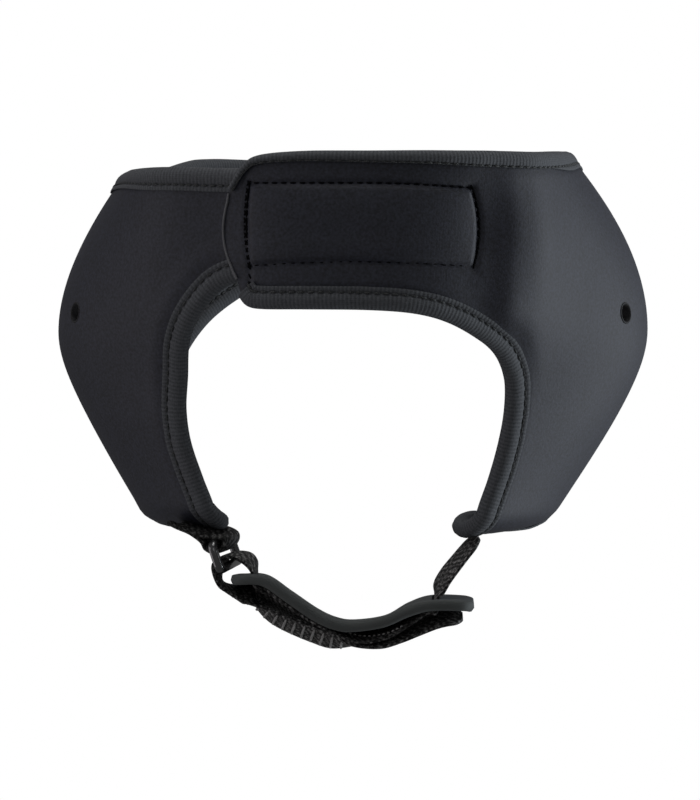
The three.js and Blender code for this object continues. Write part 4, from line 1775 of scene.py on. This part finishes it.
@dataclass
class ChinPad:
    """Foam pad with a slit near each end."""

    slit: float = 2.6
    slit_half: float = 9.8
    slit_places: tuple[float, float] = (RIGHT_SLIT_X, LEFT_SLIT_X)
    rounding: float = 1.1
    stations: int = 150
    columns: int = 27
    rim_columns: int = 8

    def build(self) -> list[bpy.types.Object]:
        """A slab whose faces close in along a quarter ellipse at the rim, with two slits left open.

        Returns:
            The pad.
        """
        dense = np.linspace(0, 1, DENSE)
        slit_ends = [x + k * self.slit / 2 for x in self.slit_places for k in (-1, 1)]
        marks = np.interp(slit_ends, PAD_ROUTE.centre(dense)[:, 0], dense)
        share = np.unique(np.concatenate([PAD_ROUTE.even_shares(self.stations), marks]))
        centre, _, sideways, face, width = PAD_ROUTE.frame(share)
        inner = np.linspace(-self.slit_half, self.slit_half, self.columns)
        rim = np.sin(np.linspace(0, np.pi / 2, self.rim_columns + 1))[1:]
        rim = self.slit_half + (width[:, None] / 2 - self.slit_half) * rim
        inner = np.broadcast_to(inner, (len(share), self.columns))
        v = np.concatenate([-rim[:, ::-1], inner, rim], axis=1)
        run = run_length(centre)
        from_end = np.minimum(run, run[-1] - run)[:, None]
        from_side = width[:, None] / 2 - np.abs(v)
        height = PAD_THICKNESS / 2 * self.round_off(from_side) * self.round_off(from_end)
        middle = centre[:, None] + sideways[:, None] * v[..., None]
        top, bottom = (middle + face[:, None] * (k * height)[..., None] for k in (1, -1))
        between = (centre[1:, 0] + centre[:-1, 0]) / 2
        in_slit = np.abs(between[:, None] - np.array(self.slit_places)).min(1) < self.slit / 2
        across = np.abs((v[0, 1:] + v[0, :-1]) / 2) < self.slit_half
        skin = Skin()
        slab(skin, top, bottom, ~(in_slit[:, None] & across[None]), paired(run[:, None], v))
        pad = make_piece("chin_pad_foam", skin, PAD_FOAM, ("chin_pad",))
        return [pad]

    def round_off(self, distance: Array) -> Array:
        """Quarter ellipse from 0 at the rim to 1 a rounding further in."""
        t = np.clip(1 - distance / self.rounding, 0, 1)
        return np.sqrt(np.maximum(1 - t**2, 0.0))


@dataclass
class Buckle:
    """One-slot buckle: a round-cornered bar bent into a rounded rectangle."""

    slot_width: float = 20.6
    slot_length: float = 5.6
    bar: float = 3.0
    corner: float = 1.9
    centre: tuple[float, float, float] = (-41.4, STRAP_Y, -68.6)
    width_axis: tuple[float, float, float] = (0.19, 0.98, 0.04)
    length_axis: tuple[float, float, float] = (0.33, 0.0, -0.94)
    corner_points: int = 10
    sides: int = 24
    fullness: float = 0.75

    def build(self) -> list[bpy.types.Object]:
        """Carries a full section round a rectangle whose corners are quarter circles.

        In the section |p| and |q|, each to the power of 2 over the fullness, add up to a constant.

        Returns:
            The ring.
        """
        half = np.array([self.slot_width + self.bar, self.slot_length + self.bar]) / 2 - self.corner
        quarter = np.arange(4)[:, None] * np.pi / 2
        angle = np.linspace(0, np.pi / 2, self.corner_points)[None] + quarter
        out = paired(np.cos(angle), np.sin(angle))
        signs = np.array([(1, 1), (-1, 1), (-1, -1), (1, -1)])
        line = ((signs * half)[:, None] + self.corner * out).reshape(-1, 2)
        out = out.reshape(-1, 2)
        angle = round_angles(self.sides)
        p, q = (
            signed_power(part, self.fullness) * self.bar / 2
            for part in (np.cos(angle), np.sin(angle))
        )
        width = unit(np.array(self.width_axis))
        face = unit(np.cross(width, np.array(self.length_axis)))
        length = np.cross(face, width)
        flat = line[:, None] + out[:, None] * p[None, :, None]
        rings = flat[..., :1] * width + flat[..., 1:] * length + np.array(self.centre)
        rings = rings + face * q[None, :, None]
        skin = Skin()
        skin.loops(rings, paired(run_length(line)[:, None], angle[None]), closed=True)
        return [make_piece("buckle_ring", skin, BUCKLE_PLASTIC, ("buckle",))]


WHITE = (1, 1, 1, 1)


@dataclass
class Studio:
    """White surroundings, soft boxes and the camera."""

    camera_place: tuple[float, float, float] = (44.95, -1197.5, 43.55)
    camera_target: tuple[float, float, float] = (-1.05, 0.0, -19.25)
    lens: float = 154.29
    sensor: float = 36.0
    view_depth: float = 50.0
    floor_height: float = -220.0
    floor_half: float = 6000.0
    ambient: float = 0.14

    def build(self) -> None:
        """Sets up everything around the object."""
        bpy.context.scene.view_settings.view_transform = "Standard"
        self.camera()
        self.world()
        self.floor()
        self.soft_box("key_right", (1180, 160, -200), (500, 1500), 15.5, (0.88, 0.94, 1.0))
        self.soft_box("key_left", (-1150, -330, -100), (900, 1300), 4.0, (1.0, 0.95, 1.0))
        self.soft_box("front_fill", (-100, -1500, 500), (800, 800), 1.3, (0.93, 0.95, 1.0))
        self.soft_box("top", (0, -100, 1100), (900, 900), 6.0, (1.0, 1.0, 1.0))

    def camera(self) -> None:
        """Camera at the photograph's angle."""
        data = bpy.data.cameras.new("camera")
        data.lens = self.lens
        data.sensor_width = self.sensor
        data.clip_end = self.view_depth
        made = bpy.data.objects.new("camera", data)
        made.location = Vector(self.camera_place) * METRE
        aim = Vector(self.camera_target) * METRE - made.location
        made.rotation_euler = aim.to_track_quat("-Z", "Y").to_euler()
        bpy.context.scene.collection.objects.link(made)
        bpy.context.scene.camera = made

    def world(self) -> None:
        """White behind the object, dim for every other ray."""
        world = bpy.data.worlds.new("studio")
        world.use_nodes = True
        shader = Shader(world.node_tree)
        seen = shader.node("ShaderNodeLightPath", {}, {}, "Is Camera Ray")
        dim, white = (
            shader.node("ShaderNodeBackground", {}, {"Color": WHITE, "Strength": strength})
            for strength in (self.ambient, 1.0)
        )
        mixed = shader.node("ShaderNodeMixShader", {}, {0: seen, 1: dim, 2: white})
        shader.node("ShaderNodeOutputWorld", {}, {"Surface": mixed})
        bpy.context.scene.world = world

    def floor(self) -> None:
        """Plain pale floor well under the guard, which is held up."""
        mesh = bpy.data.meshes.new("floor")
        corners = [(-1, -1), (1, -1), (1, 1), (-1, 1)]
        half, height = self.floor_half * METRE, self.floor_height * METRE
        mesh.from_pydata([(x * half, y * half, height) for x, y in corners], [], [(0, 1, 2, 3)])
        made = bpy.data.objects.new("floor", mesh)
        material = bpy.data.materials.new("pale_floor")
        material.use_nodes = True
        shader = Shader(material.node_tree)
        glow = shader.node("ShaderNodeEmission", {}, {"Color": WHITE, "Strength": 1.0})
        shader.node("ShaderNodeOutputMaterial", {}, {"Surface": glow})
        mesh.materials.append(material)
        made.visible_diffuse = False
        made.visible_glossy = False
        made.visible_shadow = False
        bpy.context.scene.collection.objects.link(made)

    def soft_box(self, name: str, place: tuple, size: tuple, power: float, colour: tuple) -> None:
        """Oblong area light aimed at the guard.

        Args:
            name: Light's name.
            place: Where it stands, in mm.
            size: Width and height, in mm.
            power: Watts.
            colour: Tint.
        """
        data = bpy.data.lights.new(name, "AREA")
        data.shape = "RECTANGLE"
        data.size, data.size_y = (side * METRE for side in size)
        data.energy = power
        data.color = colour
        made = bpy.data.objects.new(name, data)
        made.location = Vector(place) * METRE
        made.rotation_euler = (-made.location).to_track_quat("-Z", "Y").to_euler()
        bpy.context.scene.collection.objects.link(made)


def main() -> None:
    """Builds every sub-assembly in order and reports its pieces."""
    logging.basicConfig(level=logging.INFO, format="%(name)s %(message)s")
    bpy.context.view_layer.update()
    Studio().build()
    chin, anchor = chin_route(), Route(web_rows(ANCHOR))
    makers = [
        NeopreneBody(),
        EdgeTape(UPPER_EDGE, "upper_edge_tape", "top_binding", tab_loss=0.6),
        EdgeTape(LOWER_EDGE, "lower_edge_tape", "lower_binding"),
        TabStitching(),
        HookPatch(),
        Strap("chin_strap_webbing", "chin_strap", chin, 520, STRAP_WEB),
        StrapMarks(chin),
        # The anchor's webbing is darkened as painted shade
        Strap("left_anchor_webbing", "left_anchor", anchor, 150, ANCHOR_WEB_PAINTED_SHADE, end_rounds=(8.0, 9.0)),
        ChinPad(),
        Buckle(),
    ]
    for maker in makers:
        for piece in maker.build():
            log.info("dressed %s", piece.name)


if __name__ == "__main__":
    main()
